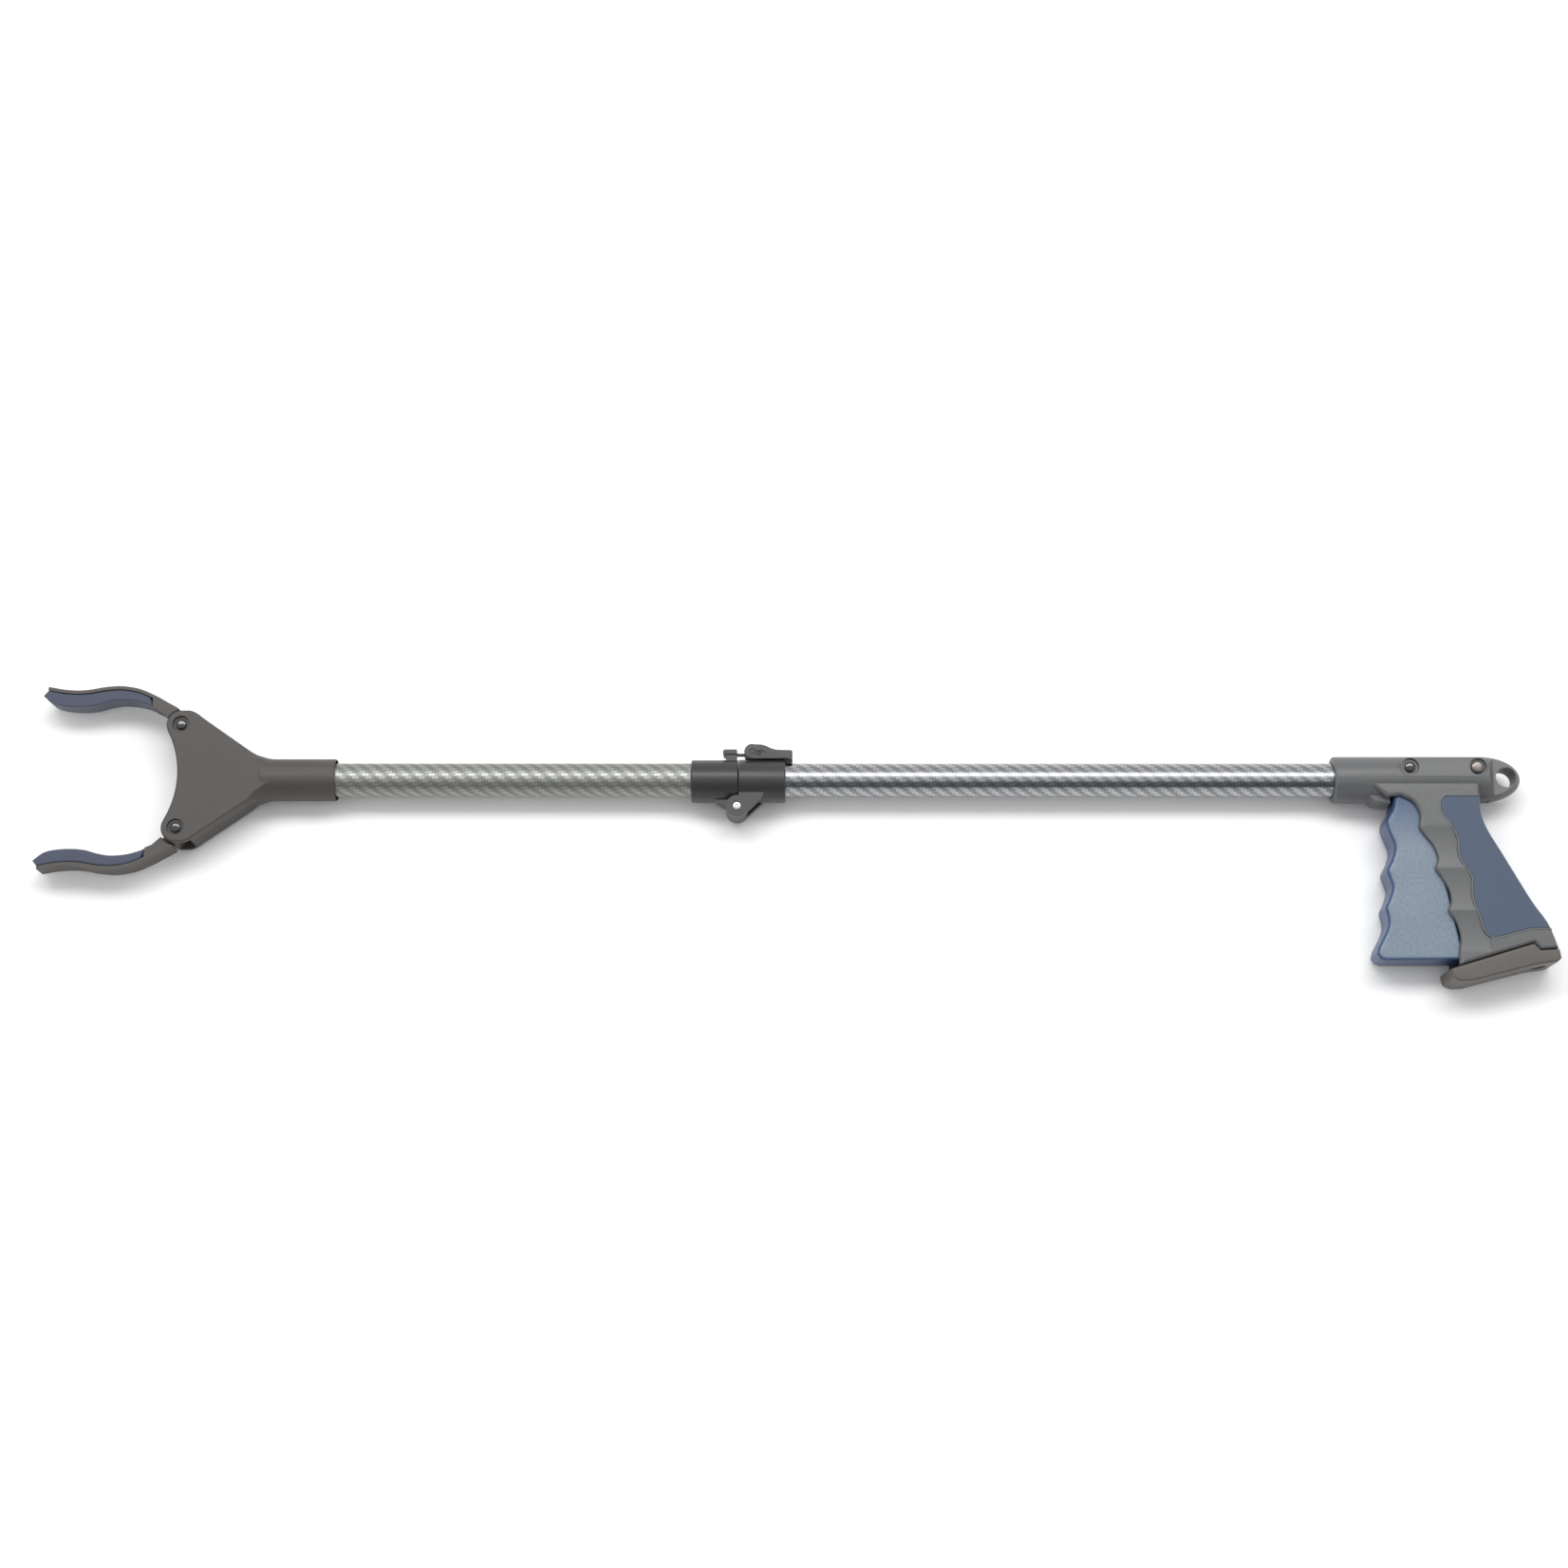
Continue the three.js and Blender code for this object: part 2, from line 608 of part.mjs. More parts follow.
function gripSolid(inset, half, bevel) {
  const rear = smoothLine(GRIP_REAR, 12, -inset);
  const front = smoothLine(GRIP_FRONT, 30);
  const outline = polygon([
    ...rear, [466.6, -104.6], [463.3, -100.6], ...front, [383, -13], [374, -4.8],
  ].reverse());
  return plate(outline, -half, half, { bevel });
}

function barrelSolid() {
  const { radius, from, shoulder, nose } = BARREL;
  const pairs = [
    [from, 0], [from, radius - 1.6], [from + 0.5, radius - 0.5], [from + 1.6, radius], [shoulder, radius],
  ];
  for (let i = 1; i <= 7; i++) {
    const angle = (i / 7) * 90 * DEG;
    pairs.push([shoulder + nose * Math.sin(angle), i === 7 ? 0 : radius * Math.cos(angle)]);
  }
  return turned(pairs, { segments: 28 });
}

function capsule(x0, x1, y, radius) {
  const shape = new THREE.Shape();
  shape.absarc(x1, y, radius, -90 * DEG, 90 * DEG, false);
  shape.absarc(x0, y, radius, 90 * DEG, 270 * DEG, false);
  return shape;
}

function handleOuter() {
  const hood = polygon([[370, -8], [376.5, -15.2], [386.2, -16.4], [387.2, -12], [391, -8]]);
  const boss = capsule(TRIGGER_PIVOT.x, REAR_SCREW.x, TRIGGER_PIVOT.y, 5.8);
  const body = union(
    barrelSolid(),
    gripSolid(0, GRIP.half, GRIP.bevel),
    plate(hood, -8, 8),
    plate(boss, -14.1, 14.1, { curve: 5 }),
  );
  const { earFrom, earHalf } = BARREL;
  const flank = polygon([[earFrom - 5, 16], [earFrom, earHalf], [480, earHalf], [480, 16]]);
  const flanks = [1, -1].map((side) => {
    const wedge = plate(flank, -20, 20);
    return wedge.rotate([side * 90, 0, 0]);
  });
  return cut(body, ...flanks, post(LANYARD.x, 0, LANYARD.radius, -20, 20, 18));
}

function handleCavity() {
  const grip = GRIP.cavity;
  const pocket = polygon([
    [385.5, -5], [385.5, -20], [360, -20], [360, -111.2], [412, -111.2], [412, -130], [440, -130],
    [458, -106], [460.5, -96], [450, -74], [434, -45], [428, -30], [427, -14], [420, -5],
  ]);
  const { x, y } = TRIGGER_PIVOT;
  return union(
    plate(pocket, -grip, grip),
    box(386, 410, -6, y + 7, -TRIGGER.neckHalf - 0.5, TRIGGER.neckHalf + 0.5),
    bar(BARREL.from - 1, TUBE.rearEnd + 2 + GAP, TUBE.radius + GAP),
    bar(TUBE.rearEnd, x - 6, 9.9),
    bar(x + 12, REAR_SCREW.x - 7, 10),
    post(x, y, 2.5 + GAP, -20, 20),
    post(REAR_SCREW.x, REAR_SCREW.y, 2.5 + GAP, -20, 20),
  );
}

// The soft inlay's outline, drawn past the grip's rear edge; grow widens it for its pocket.
function inlayShape(grow) {
  const shape = new THREE.Shape();
  shape.moveTo(417.5 - grow, -13.2 + grow);
  shape.lineTo(445, -13.2 + grow);
  shape.lineTo(490, -60);
  shape.lineTo(490, -92 - grow);
  shape.lineTo(461.6, -92 - grow);
  shape.lineTo(441.3, -97.3 - grow);
  shape.quadraticCurveTo(436 - grow, -97.5 - grow, 434.4 - grow, -91);
  shape.quadraticCurveTo(433 - grow, -83, 430.8 - grow, -79);
  shape.quadraticCurveTo(428.6 - grow, -71, 430.5 - grow, -63.2);
  shape.quadraticCurveTo(429.5 - grow, -59, 424.6 - grow, -52.5);
  shape.quadraticCurveTo(422.4 - grow, -47, 423.6 - grow, -40.5);
  shape.quadraticCurveTo(421.5 - grow, -31, 414.5 - grow, -23);
  shape.quadraticCurveTo(412 - grow, -15, 417.5 - grow, -13.2 + grow);
  return shape;
}

function inlay() {
  const band = plate(inlayShape(0), -30, 30, { curve: 4 });
  const core = gripSolid(GRIP.skin, GRIP.half - GRIP.skin, GRIP.bevel);
  return cut(band.intersect(gripSolid(0, GRIP.half + 0.2, GRIP.bevel)), core);
}

function inlayPocket() {
  const band = plate(inlayShape(GAP), -30, 30, { curve: 4 });
  const core = gripSolid(GRIP.skin + GAP, GRIP.half - GRIP.skin - GAP, GRIP.bevel);
  return cut(band, core);
}

function halves(whole, x0, x1) {
  return {
    left: cut(whole, box(x0, x1, -150, 60, -40, HALF_GAP)),
    right: cut(whole, box(x0, x1, -150, 60, -HALF_GAP, 40)),
  };
}

function handle() {
  const top = TRIGGER_PIVOT.y;
  const recesses = [TRIGGER_PIVOT.x, REAR_SCREW.x].flatMap((x) => [
    post(x, top, 5.2, 12.4, 20),
    post(x, top, 5.2, -20, -12),
  ]);
  const screw = capScrewTool(2.2, 13);
  return cut(handleOuter(), handleCavity(), inlayPocket(), screw, ...recesses);
}

function screwThroughHandle(x, headRadius) {
  const under = 12.4 + GAP;
  return spindle(x, TRIGGER_PIVOT.y, [
    [-13.4, 0], [-13.4, 2.5], [under, 2.5], [under, headRadius], [under + 0.6, headRadius - 0.1],
    [under + 1.3, headRadius * 0.7], [under + 1.6, 0],
  ]);
}

function nutOnHandle(x) {
  const y = TRIGGER_PIVOT.y;
  return cut(post(x, y, 4.6, -13.7, -12 - GAP, 6), post(x, y, 2.5 + GAP, -20, 0));
}

// ---------------------------------------------------------------- base cap

const CAP_BOTTOM = { from: [426, -123.4], to: [463.3, -113.9] };
const CAP_SCREW = { x: 468.4, y: -112.7, tilt: 14.3 };

function capSolid() {
  const outline = polygon([
    [414, -117.2], [414.2, -116], [419.2, -114.4], [463.3, -101], [466.7, -105], [477.7, -104.3],
    [478.6, -109.8], [476.2, -112], CAP_BOTTOM.to, CAP_BOTTOM.from, [419.5, -123.6], [415, -121.5],
  ].reverse());
  return plate(outline, -GRIP.half, GRIP.half, { bevel: 1.4 });
}

// A round tool along the cap screw's axis, which stands square to the cap's sloping bottom.
function capScrewTool(radius, depth) {
  const geometry = new THREE.CylinderGeometry(radius, radius, depth + 10, 16);
  geometry.translate(0, (depth - 10) / 2, 0);
  geometry.rotateZ(CAP_SCREW.tilt * DEG);
  geometry.translate(CAP_SCREW.x, CAP_SCREW.y, 0);
  return solid(geometry);
}

function baseCap() {
  return cut(capSolid(), capScrewTool(2.2, 30), capScrewTool(4.3, 3.1));
}

function capScrew() {
  const profile = [[0.3, 0], [0.3, 3.8], [0.7, 4], [2.8, 2], [11, 2], [11, 0]];
  const points = profile.map(([height, radius]) => new THREE.Vector2(radius, height));
  const geometry = new THREE.LatheGeometry(points, 16);
  geometry.rotateZ(CAP_SCREW.tilt * DEG);
  geometry.translate(CAP_SCREW.x, CAP_SCREW.y, 0);
  return solid(geometry);
}

// ---------------------------------------------------------------- assembly

const reacher = new THREE.Group();
reacher.position.set(-BOX_CENTRE.x, -BOX_CENTRE.y, GRIP.half + 0.2);

function add(name, shape, finish) {
  const geometry = shape.isBufferGeometry ? shape : geometryOf(shape);
  const mesh = new THREE.Mesh(geometry, new THREE.MeshStandardMaterial(finish));
  mesh.name = name;
  reacher.add(mesh);
}

const headParts = headShells();
add('head_shell_left', headParts.left, GREY_PLASTIC);
add('head_shell_right', headParts.right, GREY_PLASTIC);
add('sleeve_set_screw', setScrew(), DARK_STEEL);

for (const [side, place] of [['upper', (body) => body], ['lower', mirrorY]]) {
  add(`${side}_jaw`, place(jaw()), GREY_PLASTIC);
  add(`${side}_jaw_pad`, place(jawPad()), BLUE_RUBBER);
  add(`${side}_jaw_screw`, place(jawScrew()), DARK_STEEL);
  add(`${side}_jaw_nut`, place(jawNut()), STEEL);
  add(`${side}_tail_pin`, place(tailPin()), STEEL);
}

add('pull_yoke', pullYoke(), STEEL);
add('return_spring', returnSpring(), STEEL);
add('spring_seat', springSeat(), NYLON);
add('front_tube', tubeBetween(TUBE.frontEnd, -TUBE.foldEnd), CARBON);
add('rear_tube', tubeBetween(TUBE.foldEnd, TUBE.rearEnd), CARBON);
add('cable_guide', cableGuide(), NYLON);
add('front_pull_cable', frontCable(), STEEL);
add('fold_cable', foldCable(), STEEL);
add('rear_pull_cable', rearCable(), STEEL);

add('front_clamp', frontClamp(), BLACK_PLASTIC);
add('rear_clamp', rearClamp(), BLACK_PLASTIC);
add('hinge_pin', hingePin(), STEEL);
add('latch_lever', latchLever(), BLACK_PLASTIC);
add('latch_link', latchLink(), BLACK_PLASTIC);
add('latch_link_pin', linkPin(), STEEL);

const handleShells = halves(handle(), 340, 490);
const inlays = halves(inlay(), 400, 490);
add('handle_shell_left', handleShells.left, GRIP_PLASTIC);
add('handle_shell_right', handleShells.right, GRIP_PLASTIC);
add('grip_inlay_left', inlays.left, BLUE_RUBBER);
add('grip_inlay_right', inlays.right, BLUE_RUBBER);
add('base_cap', baseCap(), GRIP_PLASTIC);
add('base_cap_screw', capScrew(), STEEL);
add('trigger', trigger(), BLUE_PLASTIC);
add('cable_barrel', cableBarrel(), STEEL);
add('trigger_pivot_screw', screwThroughHandle(TRIGGER_PIVOT.x, 3.2), DARK_STEEL);
add('trigger_pivot_nut', nutOnHandle(TRIGGER_PIVOT.x), STEEL);
add('handle_screw', screwThroughHandle(REAR_SCREW.x, 3.9), STEEL);
add('handle_nut', nutOnHandle(REAR_SCREW.x), STEEL);

export default reacher;
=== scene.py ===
import json
import math

import bmesh
import bpy
from mathutils import Matrix, Vector


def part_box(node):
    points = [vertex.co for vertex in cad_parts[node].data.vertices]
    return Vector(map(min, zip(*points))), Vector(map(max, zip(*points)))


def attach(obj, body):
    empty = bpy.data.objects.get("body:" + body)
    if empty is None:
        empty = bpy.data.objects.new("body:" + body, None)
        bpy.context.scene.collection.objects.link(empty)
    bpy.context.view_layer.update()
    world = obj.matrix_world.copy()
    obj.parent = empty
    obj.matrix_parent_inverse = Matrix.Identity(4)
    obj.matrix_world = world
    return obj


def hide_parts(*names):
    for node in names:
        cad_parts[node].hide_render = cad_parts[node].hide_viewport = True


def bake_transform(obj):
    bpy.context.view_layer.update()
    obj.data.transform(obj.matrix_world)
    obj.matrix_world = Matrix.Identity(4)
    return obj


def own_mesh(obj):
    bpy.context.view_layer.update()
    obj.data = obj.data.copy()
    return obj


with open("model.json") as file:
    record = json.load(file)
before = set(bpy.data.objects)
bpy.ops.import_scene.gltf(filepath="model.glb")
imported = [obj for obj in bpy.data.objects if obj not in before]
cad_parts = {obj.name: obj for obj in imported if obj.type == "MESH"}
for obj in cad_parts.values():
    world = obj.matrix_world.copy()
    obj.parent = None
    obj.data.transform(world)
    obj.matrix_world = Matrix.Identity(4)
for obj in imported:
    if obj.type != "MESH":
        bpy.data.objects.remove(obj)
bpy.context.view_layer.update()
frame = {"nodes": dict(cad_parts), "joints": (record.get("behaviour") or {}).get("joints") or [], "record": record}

bl_info = {
    "name": "Reacher grabber",
    "version": (1, 0, 0),
    "blender": (4, 5, 0),
    "location": "3D View > Sidebar > Reacher",
    "description": "Builds the fine surfaces and finishes of a folding reacher grabber",
    "category": "Object",
}

# ---- the tool's own frame
# Shapes are drawn in millimetres in the tool's frame: x = 0 on the fold's parting plane, y = z = 0 on
# the tube's axis, jaws towards -X, grip towards -Y. TO_ROW takes them to the frame, in metres.

MM = 0.001
FOLD_END = 10.0
TUBE_LOW, TUBE_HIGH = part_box("rear_tube")
AXIS = (TUBE_LOW + TUBE_HIGH) / 2
ORIGIN = Vector((TUBE_LOW.x - FOLD_END * MM, AXIS.y, AXIS.z))
TO_ROW = Matrix.Translation(ORIGIN) @ Matrix.Scale(MM, 4)
TUBE_RADIUS = (TUBE_HIGH.z - TUBE_LOW.z) / 2 / MM
GAP = 0.3
TINY = 1e-6


def pivot(joint):
    """A hinge's place in the tool's frame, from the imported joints."""
    found = next(j for j in frame["joints"] if j["name"] == joint)
    place = (Vector(found["pos_m"]) - ORIGIN) / MM
    return place.x, place.y


HINGE = pivot("fold")
JAW_PIVOT = pivot("upper_jaw_close")
TRIGGER_PIVOT = pivot("trigger_squeeze")
LATCH = pivot("latch_open")
LINK_PIVOT = pivot("latch_link_swing")
REAR_SCREW = (TRIGGER_PIVOT[0] + 40.1, TRIGGER_PIVOT[1])

CLAMP = {"radius": 12.7, "drop": -0.8, "length": 28, "mouth": 8.6, "fillet": 1.1}
LUG = {"radius": 6.5, "pin": 2.5, "centre": 4.2, "outer": 9.2}
HEAD = {"half": 12, "inner": 8.8, "lobe": 8.7, "arc": 57, "arc_x": -389, "wall": 2.4, "sleeve": 12.5}
SLEEVE = {"front": -285, "rear": -239, "fit": 10.3, "mouth": 11.8, "depth": 4}
JAW = {"half": 8.4, "spine": 2, "barrel": 4.9, "shank": 2.5}
TAIL = {"x": -330.5, "y": 23.43, "pin": 1.5, "eye": 2.8}
BARREL = {"radius": 13.85, "front": 353, "shoulder": 441, "nose": 24, "ear": 7.5, "ear_x": 447.5}
LANYARD = {"x": 455.2, "radius": 6.1}
GRIP = {"half": 14.5, "round": 2, "cavity": 11.8, "skin": 1.6}
TRIGGER = {"half": 11, "round": 2.5, "neck": 6.3}

JAW_BACK = [
    (-346.5, 49.3), (-355.7, 53.5), (-363.5, 55.4), (-370.6, 56), (-379, 55.3),
    (-387, 53.9), (-395, 53.4), (-403.5, 54.1), (-412.5, 55.8),
]
JAW_GRIP = [
    (-415.6, 50.4), (-409.2, 45.5), (-401.7, 43.7), (-392.6, 43.3), (-384.7, 44.1),
    (-378.1, 46), (-371.5, 47.3), (-365, 47.3), (-358.6, 46.4), (-352.3, 44.5), (-346, 41.6),
]
TRIGGER_FRONT = [
    (387.4, -12.5), (386.6, -19), (382.2, -27), (383.2, -34), (386, -42.2), (384.2, -50),
    (381, -56.4), (382, -61.5), (383.4, -67.3), (381.2, -74), (378.8, -79.4), (379.8, -85),
    (379.2, -91.5), (373.4, -102.6),
]
GRIP_REAR = [
    (437.2, -4.8), (437.3, -22), (440.7, -33.4), (448, -46.9),
    (456, -62), (464.4, -77.2), (472.4, -89.6), (477.4, -103.8),
]
GRIP_FRONT = [
    (419.3, -113.8), (419.6, -106), (420.8, -97.5), (418.8, -88.5), (414.8, -81.9), (416.5, -76.5),
    (415.6, -69), (411.6, -61.5), (408.6, -56.3), (410.4, -50.5), (408.2, -43), (402.8, -35.5),
    (400.6, -31), (401.4, -24), (398, -16.5), (390.5, -12.4),
]


# ---- settings


def linear(code):
    """An sRGB hex value as linear red, green and blue."""
    parts = [int(code[i:i + 2], 16) / 255 for i in (1, 3, 5)]
    return [p / 12.92 if p <= 0.04045 else ((p + 0.055) / 1.055) ** 2.4 for p in parts]


def swatch(name, code):
    """A colour setting, shown as a swatch."""
    return bpy.props.FloatVectorProperty(
        name=name, description=f"Colour of the {name.lower()}", subtype="COLOR",
        default=linear(code), min=0, max=1,
    )


def length(name, description, default):
    """A length setting in millimetres of the model, kept in metres."""
    return bpy.props.FloatProperty(
        name=name, description=description, default=default * MM, subtype="DISTANCE", unit="LENGTH", min=0
    )


class ReacherSizes(bpy.types.PropertyGroup):
    edge_round: length("Edge rounding", "Radius on the moulded parts' cut edges", 0.25)
    tow: length("Tow width", "Width of one carbon tow in the tubes' twill", 1.963)
    grain: length("Moulding grain", "Spacing of the spark-eroded grain on the plastics", 0.6)
    floor: length("Floor", "Width of the floor", 6000)


class ReacherColours(bpy.types.PropertyGroup):
    head: swatch("Head plastic", "#3c3936")
    handle: swatch("Handle plastic", "#545556")
    cap: swatch("Base cap plastic", "#4d4844")
    clamp: swatch("Clamp plastic", "#2a2a2c")
    # Painted sheen: the trigger's pale face colour is lightened and greyed to copy the overhead light's
    # reflection.
    trigger: swatch("Trigger plastic", "#6f7c8a")
    # Painted shade: the deep blue painted on the trigger's side walls and towards its neck.
    trigger_side_shade: swatch("Trigger plastic's edges", "#30456a")
    grip: swatch("Grip rubber", "#3f4c60")
    pad: swatch("Jaw rubber", "#3d4456")
    tow_front: swatch("Front tube's tows", "#92948f")
    tow_rear: swatch("Rear tube's tows", "#a3a5a8")
    steel: swatch("Steel", "#c2c1bd")
    oxide: swatch("Black oxide", "#17171a")
    dull_steel: swatch("Dulled steel", "#6f6966")
    nylon: swatch("Nylon", "#d8d5cc")
    floor: swatch("Floor", "#f4f4f4")


def sizes():
    return bpy.context.scene.reacher_sizes


def colours():
    return bpy.context.scene.reacher_colours


# ---- outlines


def arc(x, y, radius, start, end, steps=16):
    angles = [math.radians(start + (end - start) * i / steps) for i in range(steps + 1)]
    return [(x + radius * math.cos(a), y + radius * math.sin(a)) for a in angles]


def bow(start, control, end, steps=8):
    """Points of a quadratic curve, without its first."""
    points = []
    for i in range(1, steps + 1):
        t = i / steps
        weights = ((1 - t) ** 2, 2 * t * (1 - t), t * t)
        points.append(tuple(sum(w * p[k] for w, p in zip(weights, (start, control, end))) for k in (0, 1)))
    return points


def smooth_line(points, steps, sideways=0.0):
    """Points along a smooth line through the given ones, each moved sideways by a distance."""
    line = []
    last = len(points) - 1
    for i in range(steps + 1):
        place = i / steps * last
        index = min(int(place), last - 1)
        t = place - index
        near = [Vector(points[max(0, min(last, index + k))]) for k in (-1, 0, 1, 2)]
        start, end = (near[2] - near[0]) / 2, (near[3] - near[1]) / 2
        rise = near[2] - near[1]
        spot = near[1] + start * t + (3 * rise - 2 * start - end) * t ** 2 + (start + end - 2 * rise) * t ** 3
        way = start + 2 * (3 * rise - 2 * start - end) * t + 3 * (start + end - 2 * rise) * t ** 2
        way.normalize()
        line.append((spot.x - way.y * sideways, spot.y + way.x * sideways))
    return line


def mirrored(points):
    return [(x, -y) for x, y in points][::-1]


def capsule(x0, x1, y, radius):
    return arc(x1, y, radius, -90, 90) + arc(x0, y, radius, 90, 270)


# ---- solids


def linked(obj):
    """Puts an object in the scene."""
    bpy.context.scene.collection.objects.link(obj)
    return obj


def solid(mesh_edit, name="solid"):
    bmesh.ops.recalc_face_normals(mesh_edit, faces=mesh_edit.faces)
    mesh = bpy.data.meshes.new(name)
    mesh_edit.to_mesh(mesh)
    mesh_edit.free()
    return linked(bpy.data.objects.new(name, mesh))


def plate(outline, z0, z1, rounding=0.0, segments=4):
    """A plate of the outline's shape between two heights, its edges rounded over."""
    edit = bmesh.new()
    face = edit.faces.new([edit.verts.new((x, y, z0)) for x, y in outline])
    moved = bmesh.ops.extrude_face_region(edit, geom=[face])["geom"]
    top = [v for v in moved if isinstance(v, bmesh.types.BMVert)]
    bmesh.ops.translate(edit, vec=(0, 0, z1 - z0), verts=top)
    bmesh.ops.recalc_face_normals(edit, faces=edit.faces)
    if rounding:
        rims = [e for e in edit.edges if abs(e.verts[0].co.z - e.verts[1].co.z) < TINY]
        bmesh.ops.bevel(
            edit, geom=rims, offset=rounding, segments=segments, profile=0.5, affect="EDGES",
            clamp_overlap=False,
        )
    return solid(edit)


def lathe(pairs, place, segments, closed=False):
    """A body of revolution from pairs of (distance along the axis, radius)."""
    edit = bmesh.new()
    rings = []
    for along, radius in pairs:
        count = segments if radius > TINY else 1
        rings.append([edit.verts.new(place(along, radius, 2 * math.pi * i / count)) for i in range(count)])
    following = rings[1:] + ([rings[0]] if closed else [])
    for near, far in zip(rings, following):
        for i in range(segments):
            j = (i + 1) % segments
            corners = [near[i % len(near)], near[j % len(near)], far[j % len(far)], far[i % len(far)]]
            corners = list(dict.fromkeys(corners))
            if len(corners) > 2:
                edit.faces.new(corners)
    return solid(edit)


def turned(pairs, y=0.0, segments=72, closed=False):
    """Turned about a line along X."""
    return lathe(pairs, lambda a, r, t: (a, y + r * math.cos(t), r * math.sin(t)), segments, closed)


def bar(x0, x1, radius, y=0.0):
    return turned([(x0, 0), (x0, radius), (x1, radius), (x1, 0)], y)


def spindle(x, y, pairs, segments=48, closed=False):
    """Turned about a line along Z."""
    return lathe(pairs, lambda a, r, t: (x + r * math.cos(t), y + r * math.sin(t), a), segments, closed)


def post(x, y, radius, z0, z1, segments=48):
    return spindle(x, y, [(z0, 0), (z0, radius), (z1, radius), (z1, 0)], segments)


def ring_tool(x, y, inner, outer, z0, z1):
    """A square-cut ring about a line along Z."""
    return spindle(x, y, [(z0, inner), (z0, outer), (z1, outer), (z1, inner)], 64, closed=True)


def block(x0, x1, y0, y1, z0, z1):
    return plate([(x0, y0), (x1, y0), (x1, y1), (x0, y1)], z0, z1)


def settle(obj):
    """Makes an object's modifiers part of its mesh."""
    bpy.context.view_layer.update()
    shown = obj.evaluated_get(bpy.context.evaluated_depsgraph_get())
    mesh = bpy.data.meshes.new_from_object(shown)
    obj.modifiers.clear()
    obj.data = mesh
    return obj


def combine(base, operation, tools):
    for tool in tools:
        step = base.modifiers.new(operation, "BOOLEAN")
        step.solver = "MANIFOLD"
        step.operation = operation
        step.object = tool
    settle(base)
    for tool in tools:
        bpy.data.objects.remove(tool)
    if not base.data.polygons:
        raise RuntimeError(f"{base.name} is empty after {operation}")
    return base


def join(base, *others):
    return combine(base, "UNION", others)


def cut(base, *tools):
    return combine(base, "DIFFERENCE", tools)


def copy_of(obj):
    twin = obj.copy()
    twin.data = obj.data.copy()
    return linked(twin)


def flipped(obj):
    """The same solid on the tube's other side."""
    obj.data.transform(Matrix.Scale(-1, 4, (0, 1, 0)))
    obj.data.flip_normals()
    return obj


def halves(whole, x0, x1):
    """The left and the right half of a moulding, parted on z = 0."""
    low, high, far = -160, 70, 50
    other = copy_of(whole)
    left = cut(whole, block(x0, x1, low, high, -far, GAP / 2))
    right = cut(other, block(x0, x1, low, high, -GAP / 2, far))
    return {"left": left, "right": right}


ROUNDING_STEPS = (1.0, 0.6, 0.35, 0.2)      # shares of the wanted radius, tried in this order
WELD = 0.004                                # mm: corners nearer than this are one before rounding
FINE_WELD = 1e-4                            # mm: the same after rounding
FLAT = math.radians(0.6)                    # faces that meet flatter than this are one face
FOLDED = 3.05                               # radians: a face that turns back further lies on its neighbour


def in_triangles(mesh):
    """Faces of many corners become triangles, which every program fills in the same way."""
    edit = bmesh.new()
    edit.from_mesh(mesh)
    bmesh.ops.remove_doubles(edit, verts=edit.verts, dist=FINE_WELD)
    many = [f for f in edit.faces if len(f.verts) > 4]
    bmesh.ops.triangulate(edit, faces=many, quad_method="BEAUTY", ngon_method="BEAUTY")
    edit.to_mesh(mesh)
    edit.free()


def folds(mesh):
    """How many edges the mesh has where a face lies back on its neighbour, or that two faces don't share."""
    edit = bmesh.new()
    edit.from_mesh(mesh)
    count = sum(1 for e in edit.edges if len(e.link_faces) != 2 or e.calc_face_angle(0) > FOLDED)
    edit.free()
    return count


def widest_rounding(obj, radius, sharp):
    """Rounds the edges as far as no face folds over its neighbour, which would show as a black patch."""
    edit = bmesh.new()
    edit.from_mesh(obj.data)
    bmesh.ops.remove_doubles(edit, verts=edit.verts, dist=WELD)
    bmesh.ops.dissolve_limit(edit, angle_limit=FLAT, verts=edit.verts, edges=edit.edges)
    edit.to_mesh(obj.data)
    edit.free()
    plain = obj.data.copy()
    for share in ROUNDING_STEPS if radius else ():
        round_edges(obj, radius * share, sharp)
        if not folds(obj.data):
            return
        obj.data = plain.copy()


def round_edges(obj, radius, sharp):
    step = obj.modifiers.new("edges", "BEVEL")
    step.width = radius
    step.segments = 2
    step.limit_method = "ANGLE"
    step.angle_limit = math.radians(sharp)
    step.use_clamp_overlap = False
    settle(obj)


def complete(obj, name, body, kind, node, rounding=None, sharp=32):
    """Puts a finished solid in the frame in place of its node: edges, normals, material and body."""
    rounding = sizes().edge_round / MM if rounding is None else rounding
    widest_rounding(obj, rounding, sharp)
    in_triangles(obj.data)
    obj.data.transform(TO_ROW)
    obj.data.shade_smooth()
    obj.data.set_sharp_from_angle(angle=math.radians(sharp))
    step = obj.modifiers.new("normals", "WEIGHTED_NORMAL")
    step.keep_sharp = True
    settle(obj)
    obj.name = name
    obj.data.name = name
    obj.data.materials.clear()
    obj.data.materials.append(finish_for(kind))
    if body:
        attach(obj, body)
    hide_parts(node)


# ---- materials


def feed(tree, node, inputs):
    """Each input takes a constant, an output, or a node, which stands for its first output in use."""
    for key, value in inputs.items():
        if isinstance(value, bpy.types.Node):
            value = next(output for output in value.outputs if output.enabled)
        if isinstance(value, bpy.types.NodeSocket):
            tree.links.new(value, node.inputs[key])
        else:
            node.inputs[key].default_value = value


def add_node(tree, kind, settings=None, inputs=None):
    """A shader node with its settings and links."""
    made = tree.nodes.new(f"ShaderNode{kind}")
    for key, value in (settings or {}).items():
        setattr(made, key, value)
    feed(tree, made, inputs or {})
    return made


